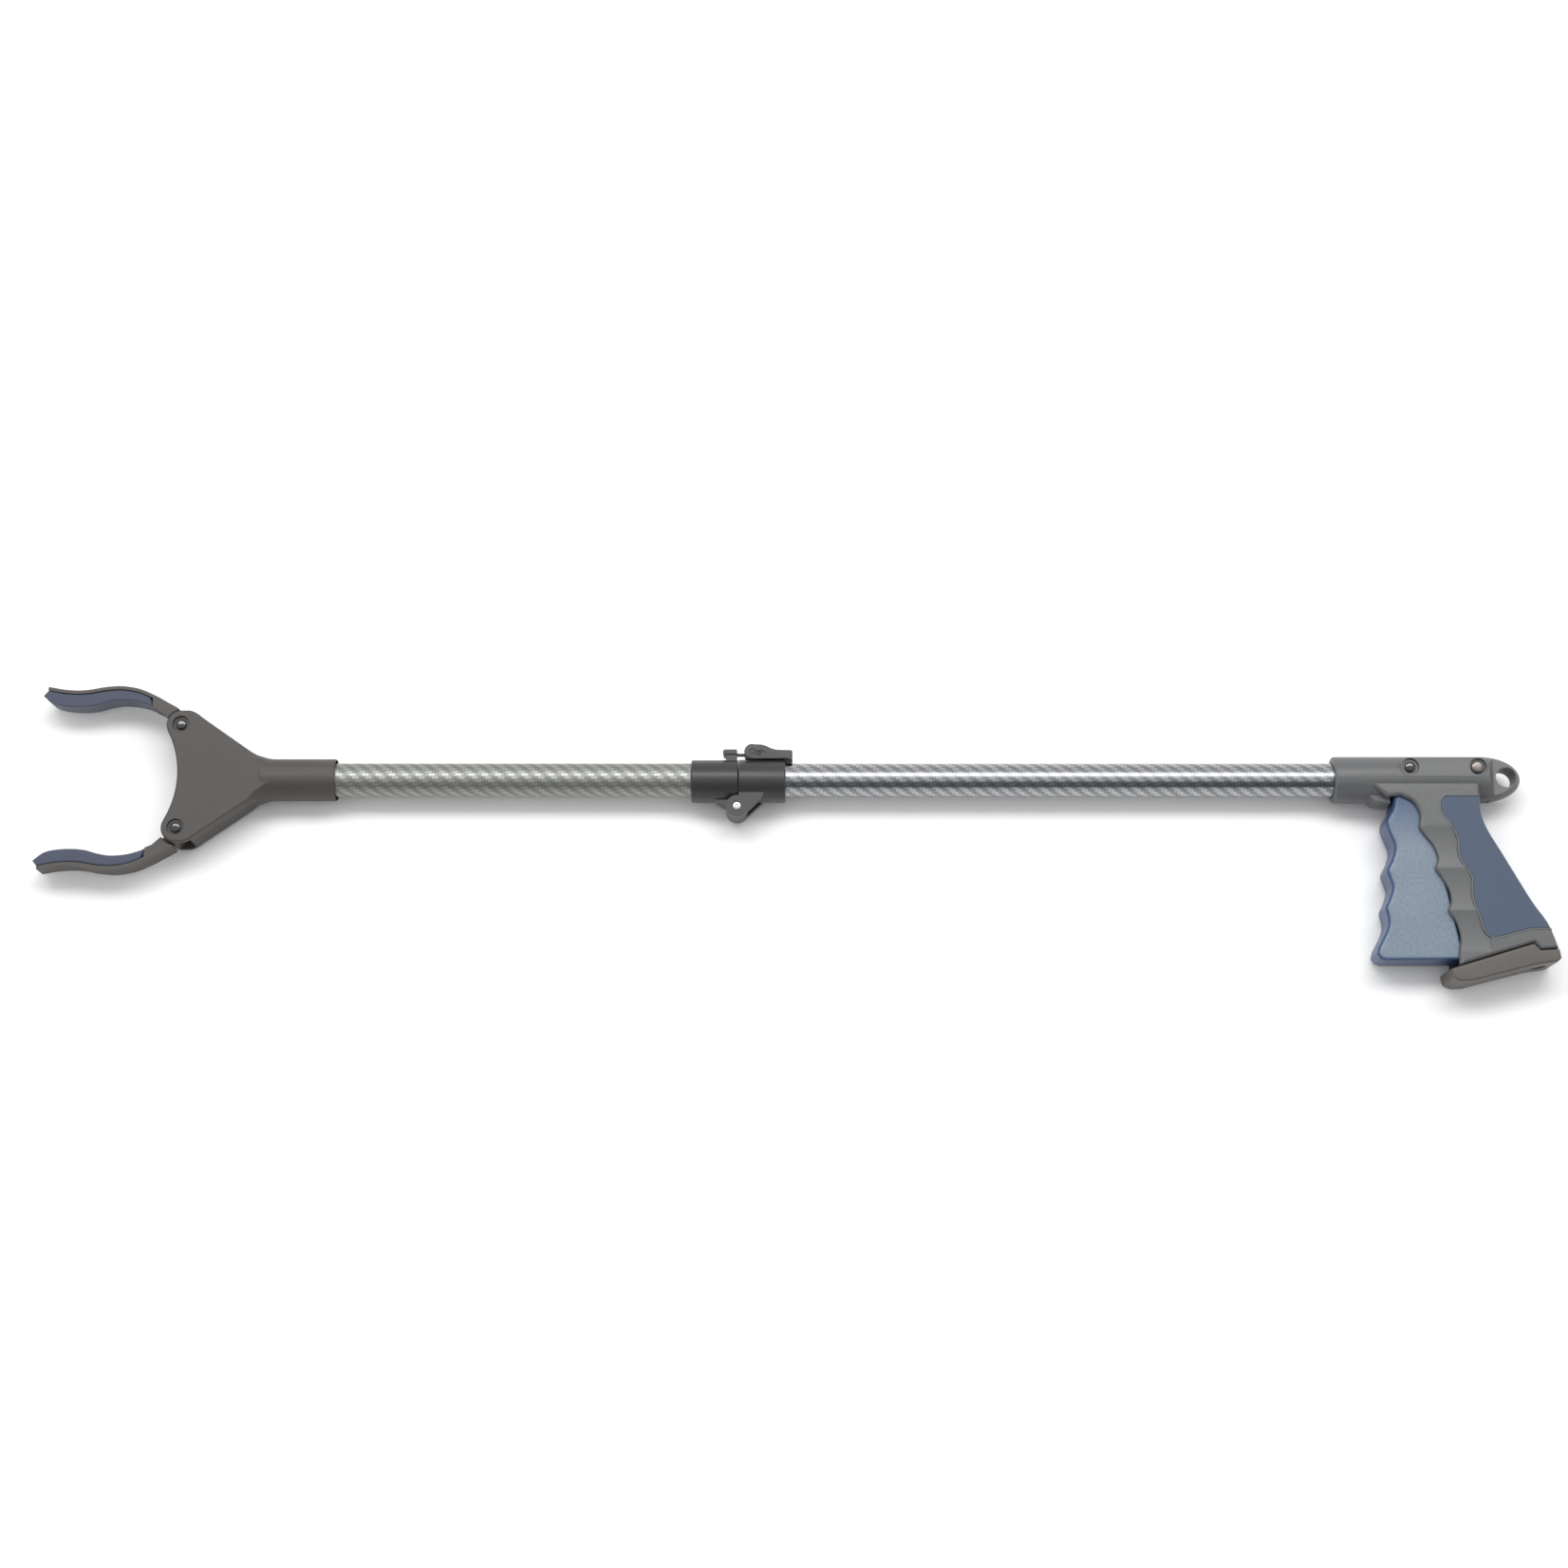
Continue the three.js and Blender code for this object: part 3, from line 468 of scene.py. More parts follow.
def start_material(name):
    """A new material's tree, its shader and its object coordinates in metres."""
    material = bpy.data.materials.new(name)
    material.use_nodes = True
    tree = material.node_tree
    shader = tree.nodes["Principled BSDF"]
    coordinates = add_node(tree, "TexCoord").outputs["Object"]
    return material, tree, shader, coordinates


def rgba(colour, factor=1.0):
    return tuple(min(1.0, c * factor) for c in colour) + (1.0,)


def grain_scale(millimetres):
    return 1 / (millimetres * MM)


DRIFT_SIZE = 22


def moulded(name, colour, roughness, grain, depth, ior=1.5, drift=0.12, convex_edge_lightening=0.35):
    """A moulded plastic: drifting tone, eroded grain as bump, a lighter colour along sharp convex edges."""
    material, tree, shader, place = start_material(name)
    # The real grain is about 0.1 mm, too fine to show at this size, so it is drawn coarser.
    cloud = add_node(tree, "TexNoise", inputs={
        "Vector": place, "Scale": grain_scale(DRIFT_SIZE), "Detail": 3.0})
    speck = add_node(tree, "TexNoise", inputs={
        "Vector": place, "Scale": grain_scale(grain), "Detail": 2.0})
    tone = add_node(tree, "Mix", {"data_type": "RGBA"}, {
        "Factor": cloud, "A": rgba(colour, 1 - drift), "B": rgba(colour, 1 + drift)})
    fleck = add_node(tree, "MapRange", inputs={
        "Value": speck, "From Min": 0.35, "From Max": 0.65, "To Min": 0.9, "To Max": 1.08})
    flecked = add_node(tree, "Mix", {"data_type": "RGBA", "blend_type": "MULTIPLY"}, {
        "Factor": 1.0, "A": tone, "B": fleck})
    # The colour lightens along sharp convex edges.
    edge = add_node(tree, "MapRange", inputs={
        "Value": add_node(tree, "NewGeometry").outputs["Pointiness"],
        "From Min": 0.51, "From Max": 0.6, "To Min": 0.0, "To Max": convex_edge_lightening})
    final = add_node(tree, "Mix", {"data_type": "RGBA"}, {
        "Factor": edge, "A": flecked, "B": rgba(colour, 1.7)})
    gloss = add_node(tree, "MapRange", inputs={
        "Value": cloud, "To Min": roughness - 0.06, "To Max": roughness + 0.06})
    bump = add_node(tree, "Bump", inputs={
        "Strength": 0.5, "Distance": depth * MM, "Height": speck})
    feed(tree, shader, {"Base Color": final, "Roughness": gloss, "Normal": bump, "IOR": ior})
    return material, shader


def eroded_nylon(name, colour):
    """Glass-filled nylon from a spark-eroded mould: speckled, dry, no clear reflection."""
    return moulded(name, colour, 0.56, sizes().grain / MM, 0.06, ior=1.53)[0]


def satin_abs(name, colour):
    """Moulded ABS with a satin mould face: an even tone with a broad soft shine."""
    return moulded(name, colour, 0.44, 0.8, 0.03, ior=1.54, drift=0.06)[0]


def clamp_nylon(colour):
    """Black glass-filled nylon from a polished mould: soft bands of sheen along the round body."""
    material, shader = moulded("Black glass-filled nylon", colour, 0.36, 0.7, 0.03, ior=1.53, convex_edge_lightening=0.25)
    shader.inputs["Specular IOR Level"].default_value = 0.4
    return material


def gloss_abs_painted_shade(colour, deep):
    """Gloss-moulded ABS: pale broad faces, with painted shade in deep blue on the side walls and towards the neck.
    """
    material, shader = moulded(
        "Gloss-moulded blue ABS", colour, 0.34, 1.6, 0.01, ior=1.5, drift=0.1, convex_edge_lightening=0.0
    )
    tree = material.node_tree
    coordinates = add_node(tree, "TexCoord")
    facing = add_node(tree, "SeparateXYZ", inputs={0: coordinates.outputs["Normal"]})
    place = add_node(tree, "SeparateXYZ", inputs={0: coordinates.outputs["Object"]})
    square = add_node(tree, "Math", {"operation": "ABSOLUTE"}, {0: facing.outputs["Z"]})
    # Painted shade: faces turned away from the broad faces, the side walls, take the deep blue.
    side = add_node(tree, "MapRange", inputs={
        "Value": square, "From Min": 0.75, "From Max": 0.98, "To Min": 1.0, "To Max": 0.0})
    # Painted shade: the blue deepens towards the neck, where the trigger runs under the barrel.
    neck = add_node(tree, "MapRange", inputs={
        "Value": place.outputs["Y"], "From Min": ORIGIN.y - 42 * MM, "From Max": ORIGIN.y - 14 * MM,
        "To Min": 0.0, "To Max": 0.85})
    depth = add_node(tree, "Math", {"operation": "MAXIMUM"}, {
        0: side, 1: neck})
    blue = add_node(tree, "Mix", {"data_type": "RGBA"}, {
        "Factor": depth, "A": shader.inputs["Base Color"].links[0].from_socket, "B": rgba(deep)})
    feed(tree, shader, {"Base Color": blue, "Specular IOR Level": 0.4})
    return material


def soft_rubber(name, colour, grain, sheen):
    """Soft-touch thermoplastic rubber: a powdery sheen at grazing angles and no sharp highlight."""
    material, shader = moulded(name, colour, 0.68, grain, 0.05, ior=1.5, drift=0.07, convex_edge_lightening=0.2)
    feed(material.node_tree, shader, {"Sheen Weight": sheen, "Sheen Roughness": 0.5})
    return material


def twill_carbon(name, colour, roughness, contrast):
    """Carbon tows in a two-by-two twill under clear lacquer: diagonal steps of light and dark tows."""
    material, tree, shader, place = start_material(name)
    radius = TUBE_RADIUS * MM
    tows = 4 * round(2 * math.pi * radius / sizes().tow / 4)      # a whole number of repeats round the tube
    centred = add_node(tree, "VectorMath", {"operation": "SUBTRACT"}, {0: place, 1: ORIGIN})
    split = add_node(tree, "SeparateXYZ", inputs={0: centred})

    turn = add_node(tree, "Math", {"operation": "ARCTAN2"}, {
        0: split.outputs["Y"], 1: split.outputs["Z"]})
    half_turn = add_node(tree, "Math", {"operation": "ADD"}, {0: turn, 1: math.pi})
    around = add_node(tree, "Math", {"operation": "MULTIPLY"}, {
        0: half_turn, 1: tows / (2 * math.pi)})
    ahead = add_node(tree, "Math", {"operation": "ADD"}, {0: split.outputs["X"], 1: 1.0})
    along = add_node(tree, "Math", {"operation": "DIVIDE"}, {0: ahead, 1: sizes().tow})
    ring = add_node(tree, "Math", {"operation": "FLOOR"}, {0: around})
    row = add_node(tree, "Math", {"operation": "FLOOR"}, {0: along})
    diagonal = add_node(tree, "Math", {"operation": "ADD"}, {0: ring, 1: row})
    repeat = add_node(tree, "Math", {"operation": "MODULO"}, {0: diagonal, 1: 4.0})
    over = add_node(tree, "Math", {"operation": "LESS_THAN"}, {0: repeat, 1: 1.5})
    across = []
    for way in (around, along):
        part = add_node(tree, "Math", {"operation": "FRACT"}, {0: way})
        shift = add_node(tree, "Math", {"operation": "SUBTRACT"}, {0: part, 1: 0.5})
        across.append(add_node(tree, "Math", {"operation": "ABSOLUTE"}, {0: shift}))
    crown = add_node(tree, "Mix", {"data_type": "FLOAT"}, {
        "Factor": over, "A": across[1], "B": across[0]})
    # One carbon fibre is about 0.007 mm thick, far too fine to show, so a strand of many is drawn.
    fibre = add_node(tree, "TexNoise", inputs={
        "Vector": place, "Scale": grain_scale(0.5), "Detail": 2.0})
    tow = add_node(tree, "Mix", {"data_type": "RGBA"}, {
        "Factor": over, "A": rgba(colour, 1 - contrast), "B": rgba(colour, 1.08)})
    seam = add_node(tree, "MapRange", inputs={
        "Value": crown, "From Min": 0.3, "From Max": 0.5, "To Min": 1.0, "To Max": 0.6})
    shade = add_node(tree, "Mix", {"data_type": "RGBA", "blend_type": "MULTIPLY"}, {
        "Factor": 1.0, "A": tow, "B": seam})
    strand = add_node(tree, "MapRange", inputs={
        "Value": fibre, "To Min": 0.75, "To Max": 1.2})
    final = add_node(tree, "Mix", {"data_type": "RGBA", "blend_type": "MULTIPLY"}, {
        "Factor": 1.0, "A": shade, "B": strand})
    gloss = add_node(tree, "MapRange", inputs={
        "Value": over, "To Min": roughness + 0.1, "To Max": roughness})
    bump = add_node(tree, "Bump", {"invert": True}, {
        "Strength": 0.2, "Distance": 0.03 * MM, "Height": crown})
    feed(tree, shader, {
        "Base Color": final, "Roughness": gloss, "Normal": bump, "Metallic": 1.0, "Coat Weight": 0.5,
        "Coat Roughness": 0.12})
    return material


def metal(name, colour, roughness, turning):
    """A turned metal: fine tool marks, drawn as a speckle, that break up a bright reflection."""
    material, tree, shader, place = start_material(name)
    # Real tool marks are about 0.1 mm apart, too fine to show, so they are drawn coarser.
    marks = add_node(tree, "TexNoise", inputs={
        "Vector": place, "Scale": grain_scale(turning), "Detail": 4.0})
    tone = add_node(tree, "Mix", {"data_type": "RGBA"}, {
        "Factor": marks, "A": rgba(colour, 0.8), "B": rgba(colour, 1.1)})
    gloss = add_node(tree, "MapRange", inputs={
        "Value": marks, "To Min": roughness - 0.08, "To Max": roughness + 0.1})
    bump = add_node(tree, "Bump", inputs={
        "Strength": 0.3, "Distance": 0.02 * MM, "Height": marks})
    feed(tree, shader, {"Base Color": tone, "Roughness": gloss, "Normal": bump, "Metallic": 1.0})
    return material


def oiled_oxide(colour):
    """Black-oxide steel under an oil film: a near-black dome with a small bright highlight."""
    material = metal("Black-oxide steel, oiled", colour, 0.3, 0.7)
    shader = material.node_tree.nodes["Principled BSDF"]
    feed(material.node_tree, shader, {"Coat Weight": 1.0, "Coat Roughness": 0.06, "Coat IOR": 1.7})
    return material


def finish_for(kind):
    """The material of that kind, made once."""
    c = colours()
    makers = {
        "head": lambda: eroded_nylon("Spark-eroded grey nylon", c.head),
        "handle": lambda: satin_abs("Satin-moulded grey ABS", c.handle),
        "cap": lambda: satin_abs("Satin-moulded taupe ABS", c.cap),
        "clamp": lambda: clamp_nylon(c.clamp),
        "trigger": lambda: gloss_abs_painted_shade(c.trigger, c.trigger_side_shade),
        "grip": lambda: soft_rubber("Overmoulded soft-touch rubber", c.grip, 0.7, 0.25),
        "pad": lambda: soft_rubber("Moulded jaw rubber", c.pad, 0.9, 0.15),
        "front_tube": lambda: twill_carbon("Lacquered twill carbon, silvery", c.tow_front, 0.48, 0.25),
        "rear_tube": lambda: twill_carbon("Lacquered twill carbon, dark", c.tow_rear, 0.2, 0.4),
        "steel": lambda: metal("Turned stainless steel", c.steel, 0.26, 0.5),
        "oxide": lambda: oiled_oxide(c.oxide),
        "dull_steel": lambda: metal("Dulled steel", c.dull_steel, 0.3, 0.5),
        "nylon": lambda: satin_abs("Natural nylon", c.nylon),
    }
    if kind not in MADE:
        MADE[kind] = makers[kind]()
    return MADE[kind]


MADE = {}


# ---- tubes


def build_tubes():
    for side in ("front", "rear"):
        low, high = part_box(f"{side}_tube")
        x0, x1 = (low.x - ORIGIN.x) / MM, (high.x - ORIGIN.x) / MM
        bore = 8.75
        chamfer = 0.3
        ring = [
            (x0, bore), (x0, TUBE_RADIUS - chamfer), (x0 + chamfer, TUBE_RADIUS),
            (x1 - chamfer, TUBE_RADIUS), (x1, TUBE_RADIUS - chamfer), (x1, bore),
        ]
        tube = turned(ring, segments=96, closed=True)
        body = "front_arm" if side == "front" else "handle"
        complete(tube, f"{side}_carbon_tube", body, f"{side}_tube",
                 f"{side}_tube", rounding=0)


# ---- head and jaws


def head_outline():
    x, y = JAW_PIVOT
    front, sleeve, lobe = SLEEVE["front"], HEAD["sleeve"], HEAD["lobe"]
    sweep = math.degrees(math.asin(27 / HEAD["arc"]))
    side = [(front + 8, sleeve)]
    side += bow((front + 8, sleeve), (front - 1, sleeve), (front - 6, 16.3))
    side += [(-318, 35.2)] + bow((-318, 35.2), (-323.5, 40), (x + 4, y + lobe))
    side += arc(x, y, lobe, 85, 210, 28)
    middle = arc(HEAD["arc_x"], 0, HEAD["arc"], sweep, -sweep, 24)
    return side + middle + mirrored(side)


def head_cavity():
    front = SLEEVE["front"]
    radius = HEAD["arc"] + HEAD["wall"]
    sweep = math.degrees(math.asin(24 / radius))
    side = [
        (front - 4, 8), (-317.5, 31.8), (-322.5, 38.2), (-326, 50), (-350, 50), (-350, 25.4), (-338, 25.4),
    ]
    return side + arc(HEAD["arc_x"], 0, radius, sweep, -sweep, 24) + mirrored(side)


SEAT = {"radius": 5.1, "deep": 1.6, "nut": 2}


def build_head():
    half, sleeve = HEAD["half"], HEAD["sleeve"]
    front, rear = SLEEVE["front"], SLEEVE["rear"]
    x, y = JAW_PIVOT
    tube_end = -272.0
    collar = turned([
        (front - 2, 0), (front - 2, sleeve - 3), (front + 2, sleeve), (rear - 0.8, sleeve),
        (rear - 0.2, sleeve - 0.3), (rear, sleeve - 0.9), (rear, 0),
    ])
    runout = turned([
        (-430, 0), (-430, 120), (-302, 36), (-292, 20.5), (-286, 15.4), (-280, 13), (-277, sleeve),
        (-270, sleeve), (-270, 0),
    ])
    flat = combine(plate(head_outline(), -half, half, 1.2, 5), "INTERSECT", [runout])
    outer = join(flat, collar)
    tools = [
        plate(head_cavity(), -HEAD["inner"], HEAD["inner"]),
        bar(front - 16, tube_end - 2, 7.6),
        bar(tube_end - 2.6, rear + 1, SLEEVE["fit"]),
        bar(rear - SLEEVE["depth"], rear + 1, SLEEVE["mouth"]),
    ]
    for side in (y, -y):
        tools.append(post(x, side, SEAT["radius"], half - SEAT["deep"], half + 1))
        tools.append(post(x, side, SEAT["radius"], -half - 1, -half + SEAT["nut"]))
        tools.append(post(x, side, JAW["shank"] + GAP, -half - 1, half + 1))
    shells = halves(cut(outer, *tools), -400, -200)
    shells["right"] = cut(shells["right"], post(-256, 0, 2.3, -half - 2, -TUBE_RADIUS))
    for side, shell in shells.items():
        complete(shell, f"head_casing_{side}", "front_arm", "head", f"head_shell_{side}")


TAPER = {"tip": -415, "root": -352, "share": 0.84}


def narrowed(obj):
    """Thins a jaw piece towards its tip."""
    tip, root = TAPER["tip"], TAPER["root"]
    for vertex in obj.data.vertices:
        t = min(1.0, max(0.0, (root - vertex.co.x) / (root - tip)))
        vertex.co.z *= 1 - (1 - TAPER["share"]) * t * t
    return obj


def jaw_arm():
    x, y = JAW_PIVOT
    half, barrel = JAW["half"], JAW["barrel"]
    arm = smooth_line(JAW_BACK, 48) + smooth_line(JAW_BACK, 48, JAW["spine"])[::-1]
    root = [
        (-349.8, 50.9), (-346.5, 49.3), (-341.5, 46.4), (-334, 42.2), (x + 3.5, y + 3.5), (x, y),
        (x - 3.6, y - 3.3), (-340.2, 36.6), (-345.3, 41.2), (-349.4, 43), (-349.7, 49.6),
    ]
    tail = [(x - barrel, y), (TAIL["x"] - TAIL["eye"], TAIL["y"]), (TAIL["x"] + TAIL["eye"], TAIL["y"]),
            (x + barrel, y)]
    whole = join(
        plate(arm, -half, half), plate(root, -half, half), plate(tail, -half, half),
        post(x, y, barrel, -half, half), post(TAIL["x"], TAIL["y"], TAIL["eye"], -half, half),
    )
    fork = 1.9
    lip = HEAD["lobe"] + 0.1
    floor = 3.4
    spans = ((floor, half + 1), (-half - 1, -floor))
    grooves = [ring_tool(x, y, lip, lip + 1.4, low, high) for low, high in spans]
    whole = cut(
        whole, post(x, y, 7, -fork, fork), block(x - 7, x + 7, y - 14, y - 3, -fork, fork),
        post(x, y, JAW["shank"] + GAP, -20, 20), post(TAIL["x"], TAIL["y"], TAIL["pin"] + GAP, -20, 20),
        *grooves,
    )
    return narrowed(whole)


def jaw_lining():
    back = smooth_line(JAW_BACK, 48, JAW["spine"] + GAP)[3:]
    grip = smooth_line(JAW_GRIP, 54)[:-3]
    half = JAW["half"] - 0.4
    return narrowed(plate(back + grip, -half, half, 0.9))


SCREW = {"shank": 2.5, "rim": 0.5, "ease": 0.05, "rise": 0.9, "full": 0.6, "top": 1.42}


def pivot_screw(x, y, base, radius, shank_from):
    """A pivot screw with a plain domed head."""
    rim, eased, shank = base + SCREW["rim"], radius - SCREW["ease"], SCREW["shank"]
    dome = [(base, radius), (rim, eased)]
    dome += [(rim + SCREW["rise"] * math.sin(a), eased * math.cos(a) ** SCREW["full"])
             for a in (0.3, 0.6, 0.9, 1.2, 1.4)]
    profile = [(shank_from, 0), (shank_from, shank), (base, shank)] + dome + [(base + SCREW["top"], 0)]
    return spindle(x, y, profile, 64)


def build_jaws():
    for side, place in (("upper", lambda piece: piece), ("lower", flipped)):
        body = f"{side}_jaw"
        complete(place(jaw_arm()), f"{side}_jaw_arm", body, "head", f"{side}_jaw")
        complete(place(jaw_lining()), f"{side}_jaw_lining", body, "pad", f"{side}_jaw_pad")
        x, y = JAW_PIVOT
        screw = pivot_screw(x, y, HEAD["half"] - SEAT["deep"] + GAP, 3.2, -HEAD["half"] + 0.5)
        complete(place(screw), f"{side}_jaw_pivot_screw", "front_arm", "oxide",
                 f"{side}_jaw_screw", rounding=0.08)


# ---- fold


def clamp_solid(side):
    radius, fillet, drop = CLAMP["radius"], CLAMP["fillet"], CLAMP["drop"]
    inner, outer = side * 0.2, side * CLAMP["length"]
    pairs = [(inner, 0), (inner, radius - 0.3), (inner + side * 0.3, radius)]
    for i in range(6):
        a = math.radians(90 * i / 5)
        pairs.append((outer - side * fillet * (1 - math.sin(a)), radius - fillet * (1 - math.cos(a))))
    pairs.append((outer, 0))
    return turned(pairs, y=drop)


def clamp_bores(side):
    seat = side * (FOLD_END - GAP)
    socket = sorted((seat, side * (CLAMP["length"] + 1)))
    throat = sorted((side * -1, seat + side))
    return [bar(*socket, TUBE_RADIUS + GAP), bar(*throat, CLAMP["mouth"])]


def cable_slot():
    return block(-9.5, 9.5, -16, -5, -1.4, 1.4)


def rear_clamp():
    x, y = HINGE
    z0, outer, lug = LUG["centre"] + GAP, LUG["outer"], LUG["radius"]
    reach = lug * math.sqrt(0.5)
    web = [(x, y), (x + reach, y - reach), (14.2, -12.5), (16, -8), (0.3, -8), (0.3, -11.4)]
    pieces = []
    for low, high in ((z0, outer), (-outer, -z0)):
        pieces += [post(x, y, lug, low, high), plate(web, low, high)]
    lx, ly = LATCH
    for side in (1, -1):
        low, high = sorted((side * 2.4, side * 4.45))
        stub = sorted((side * 3.45, side * 6.4))
        stem = [(lx - 2, 10.6), (lx + 2.6, 10.6), (lx + 2, ly), (lx - 2, ly)]
        pieces += [post(lx, ly, 2.2, low, high), plate(stem, low, high), post(lx, ly, 1.45, *stub)]
    return cut(
        join(clamp_solid(1), *pieces), *clamp_bores(1), post(x, y, lug + 0.4, -z0, z0),
        post(x, y, LUG["pin"] + GAP, -outer - 1, outer + 1), cable_slot(),
    )


def front_clamp():
    x, y = HINGE
    centre, outer, lug = LUG["centre"], LUG["outer"], LUG["radius"]
    web = [(x, y), (-0.4, -8), (-14, -8), (-13.5, -13.8), (-6, -18.2)]
    whole = join(clamp_solid(-1), post(x, y, lug, -centre, centre), plate(web, -centre, centre),
                 block(-7.5, -0.9, 10, 14.3, -5, 5))
    return cut(
        whole, *clamp_bores(-1), post(x, y, lug + 0.4, centre, outer + GAP),
        post(x, y, lug + 0.4, -outer - GAP, -centre), post(x, y, LUG["pin"] + GAP, -outer, outer),
        cable_slot(),
    )


def latch_lever():
    x, y = LATCH
    nose = 4.7
    deep = 0.7
    recess = capsule(9.5, 14.5, 15.4, 1.3)
    shape = arc(x, y, nose, 270, 70, 24)
    shape += bow(shape[-1], (14, 20.9), (17.5, 19.1)) + bow((17.5, 19.1), (20.5, 17.4), (23.5, 17.2))
    shape += [(31.4, 17), (32.1, 16.3), (32.1, 10.7), (29.8, 11), (28.6, 11.5)]
    hollow = [
        (0, 8), (28.4, 8), (28.4, 12.3), (21, 12.6), (21, 16), (16, 18), (9, 18.9), (x, 19.2), (x, 24),
        (0, 24),
    ]
    return cut(
        plate(shape, -6.6, 6.6, 0.6), plate(hollow, -4.75, 4.75), block(x - 1, 17, y, 24, -1.6, 1.6),
        post(x, y, 1.7, -8, 8), post(*LINK_PIVOT, 1.3, -8, 8),
        plate(recess, 6.6 - deep, 8), plate(recess, -8, deep - 6.6),
    )


def latch_link():
    x, y = LINK_PIVOT
    bottom = 14.6
    head = [(-0.9, bottom), (-0.9, 17.8)] + arc(-7.7, 16.2, 1.6, 90, 180, 8) + [(-8.7, bottom)]
    return cut(
        join(plate(head, -5, 5, 0.4), block(-1.9, x, bottom, 16.2, -1.1, 1.1), post(x, y, 2.3, -2, 2)),
        post(x, y, 1.3, -3, 3),
    )


def hinge_pin():
    x, y = HINGE
    ends = 9.7
    return spindle(x, y, [
        (-ends, 0), (-ends, 2.0), (-ends + 0.2, 2.35), (-ends + 0.4, 2.5), (ends - 0.4, 2.5),
        (ends - 0.2, 2.35), (ends, 2.0), (ends, 1.1), (ends - 0.3, 0.7), (ends - 0.3, 0),
    ], 64)


def build_fold():
    for made, node, body in (
        (rear_clamp, "rear_clamp", "handle"), (front_clamp, "front_clamp", "front_arm"),
        (latch_lever, "latch_lever", "latch_lever"), (latch_link, "latch_link", "latch_link"),
    ):
        complete(made(), f"{node}_moulding", body, "clamp", node)
    complete(hinge_pin(), "fold_hinge_pin", "handle", "steel", "hinge_pin", rounding=0)


# ---- handle


def grip_solid(inset, half, rounding):
    rear = smooth_line(GRIP_REAR, 40, -inset)
    front = smooth_line(GRIP_FRONT, 75)
    outline = rear + [(466.6, -104.6), (463.3, -100.6)] + front + [(383, -13), (374, -4.8)]
    return plate(outline[::-1], -half, half, rounding, 5)


def barrel_solid():
    radius, front, shoulder, nose = BARREL["radius"], BARREL["front"], BARREL["shoulder"], BARREL["nose"]
    pairs = [(front, 0)]
    for i in range(7):
        a = math.radians(90 * i / 6)
        pairs.append((front + 1.6 * (1 - math.cos(a)), radius - 1.6 * (1 - math.sin(a))))
    for i in range(19):
        a = math.radians(90 * i / 18)
        pairs.append((shoulder + nose * math.sin(a), radius * math.cos(a)))
    pairs[-1] = (shoulder + nose, 0)
    return turned(pairs, segments=96)


def handle_outer():
    hood = [(370, -8), (376.5, -15.2), (386.2, -16.4), (387.2, -12), (391, -8)]
    boss = capsule(TRIGGER_PIVOT[0], REAR_SCREW[0], TRIGGER_PIVOT[1], 5.8)
    whole = join(barrel_solid(), grip_solid(0, GRIP["half"], GRIP["round"]), plate(hood, -8, 8, 1),
                 plate(boss, -14.1, 14.1))
    ear_x, ear = BARREL["ear_x"], BARREL["ear"]
    flanks = []
    for side in (1, -1):
        wedge = plate([(ear_x - 5, 16), (ear_x, ear), (480, ear), (480, 16)], -20, 20)
        wedge.data.transform(Matrix.Rotation(math.radians(90 * side), 4, "X"))
        flanks.append(wedge)
    return cut(whole, *flanks, post(LANYARD["x"], 0, LANYARD["radius"], -20, 20, 64))


def handle_hollows():
    x, y = TRIGGER_PIVOT
    pocket = [
        (385.5, -5), (385.5, -20), (360, -20), (360, -111.2), (412, -111.2), (412, -130), (440, -130),
        (458, -106), (460.5, -96), (450, -74), (434, -45), (428, -30), (427, -14), (420, -5),
    ]
    neck = TRIGGER["neck"] + 0.5
    return [
        plate(pocket, -GRIP["cavity"], GRIP["cavity"]),
        block(386, 410, -6, y + 7, -neck, neck),
        bar(BARREL["front"] - 1, 374.3, TUBE_RADIUS + GAP),
        bar(372, x - 6, 9.9),
        bar(x + 12, REAR_SCREW[0] - 7, 10),
        post(x, y, 2.8, -20, 20),
        post(*REAR_SCREW, 2.8, -20, 20),
    ]


def inlay_outline(g):
    """The soft inlay's outline, drawn past the grip's rear edge; g widens it for its pocket."""
    start = (417.5 - g, -13.2 + g)
    points = [start, (445, -13.2 + g), (490, -60), (490, -92 - g), (461.6, -92 - g), (441.3, -97.3 - g)]
    for control, end in (
        ((436, -97.5), (434.4, -91)), ((433, -83), (430.8, -79)), ((428.6, -71), (430.5, -63.2)),
        ((429.5, -59), (424.6, -52.5)), ((422.4, -47), (423.6, -40.5)), ((421.5, -31), (414.5, -23)),
    ):
        points += bow(points[-1], (control[0] - g, control[1]), (end[0] - g, end[1]))
    return points + bow(points[-1], (412 - g, -15), start)[:-1]


def inlay_solid():
    band = plate(inlay_outline(0), -30, 30)
    body = combine(band, "INTERSECT", [grip_solid(0, GRIP["half"] + 0.2, GRIP["round"])])
    return cut(body, grip_solid(GRIP["skin"], GRIP["half"] - GRIP["skin"], GRIP["round"]))


def inlay_pocket():
    band = plate(inlay_outline(GAP), -30, 30)
    skin = GRIP["skin"] + GAP
    return cut(band, grip_solid(skin, GRIP["half"] - skin, GRIP["round"]))


LIP = {"width": 0.9, "height": 0.3}
SCOOP = {"radius": 98, "depth": 0.8, "places": (-43.5, -69, -94)}


def inlay_lip():
    """A raised lip on the casing round the soft inlay."""
    band = plate(inlay_outline(GAP + LIP["width"]), -30, 30)
    raised = grip_solid(-LIP["height"], GRIP["half"] + LIP["height"], GRIP["round"])
    return combine(band, "INTERSECT", [raised])


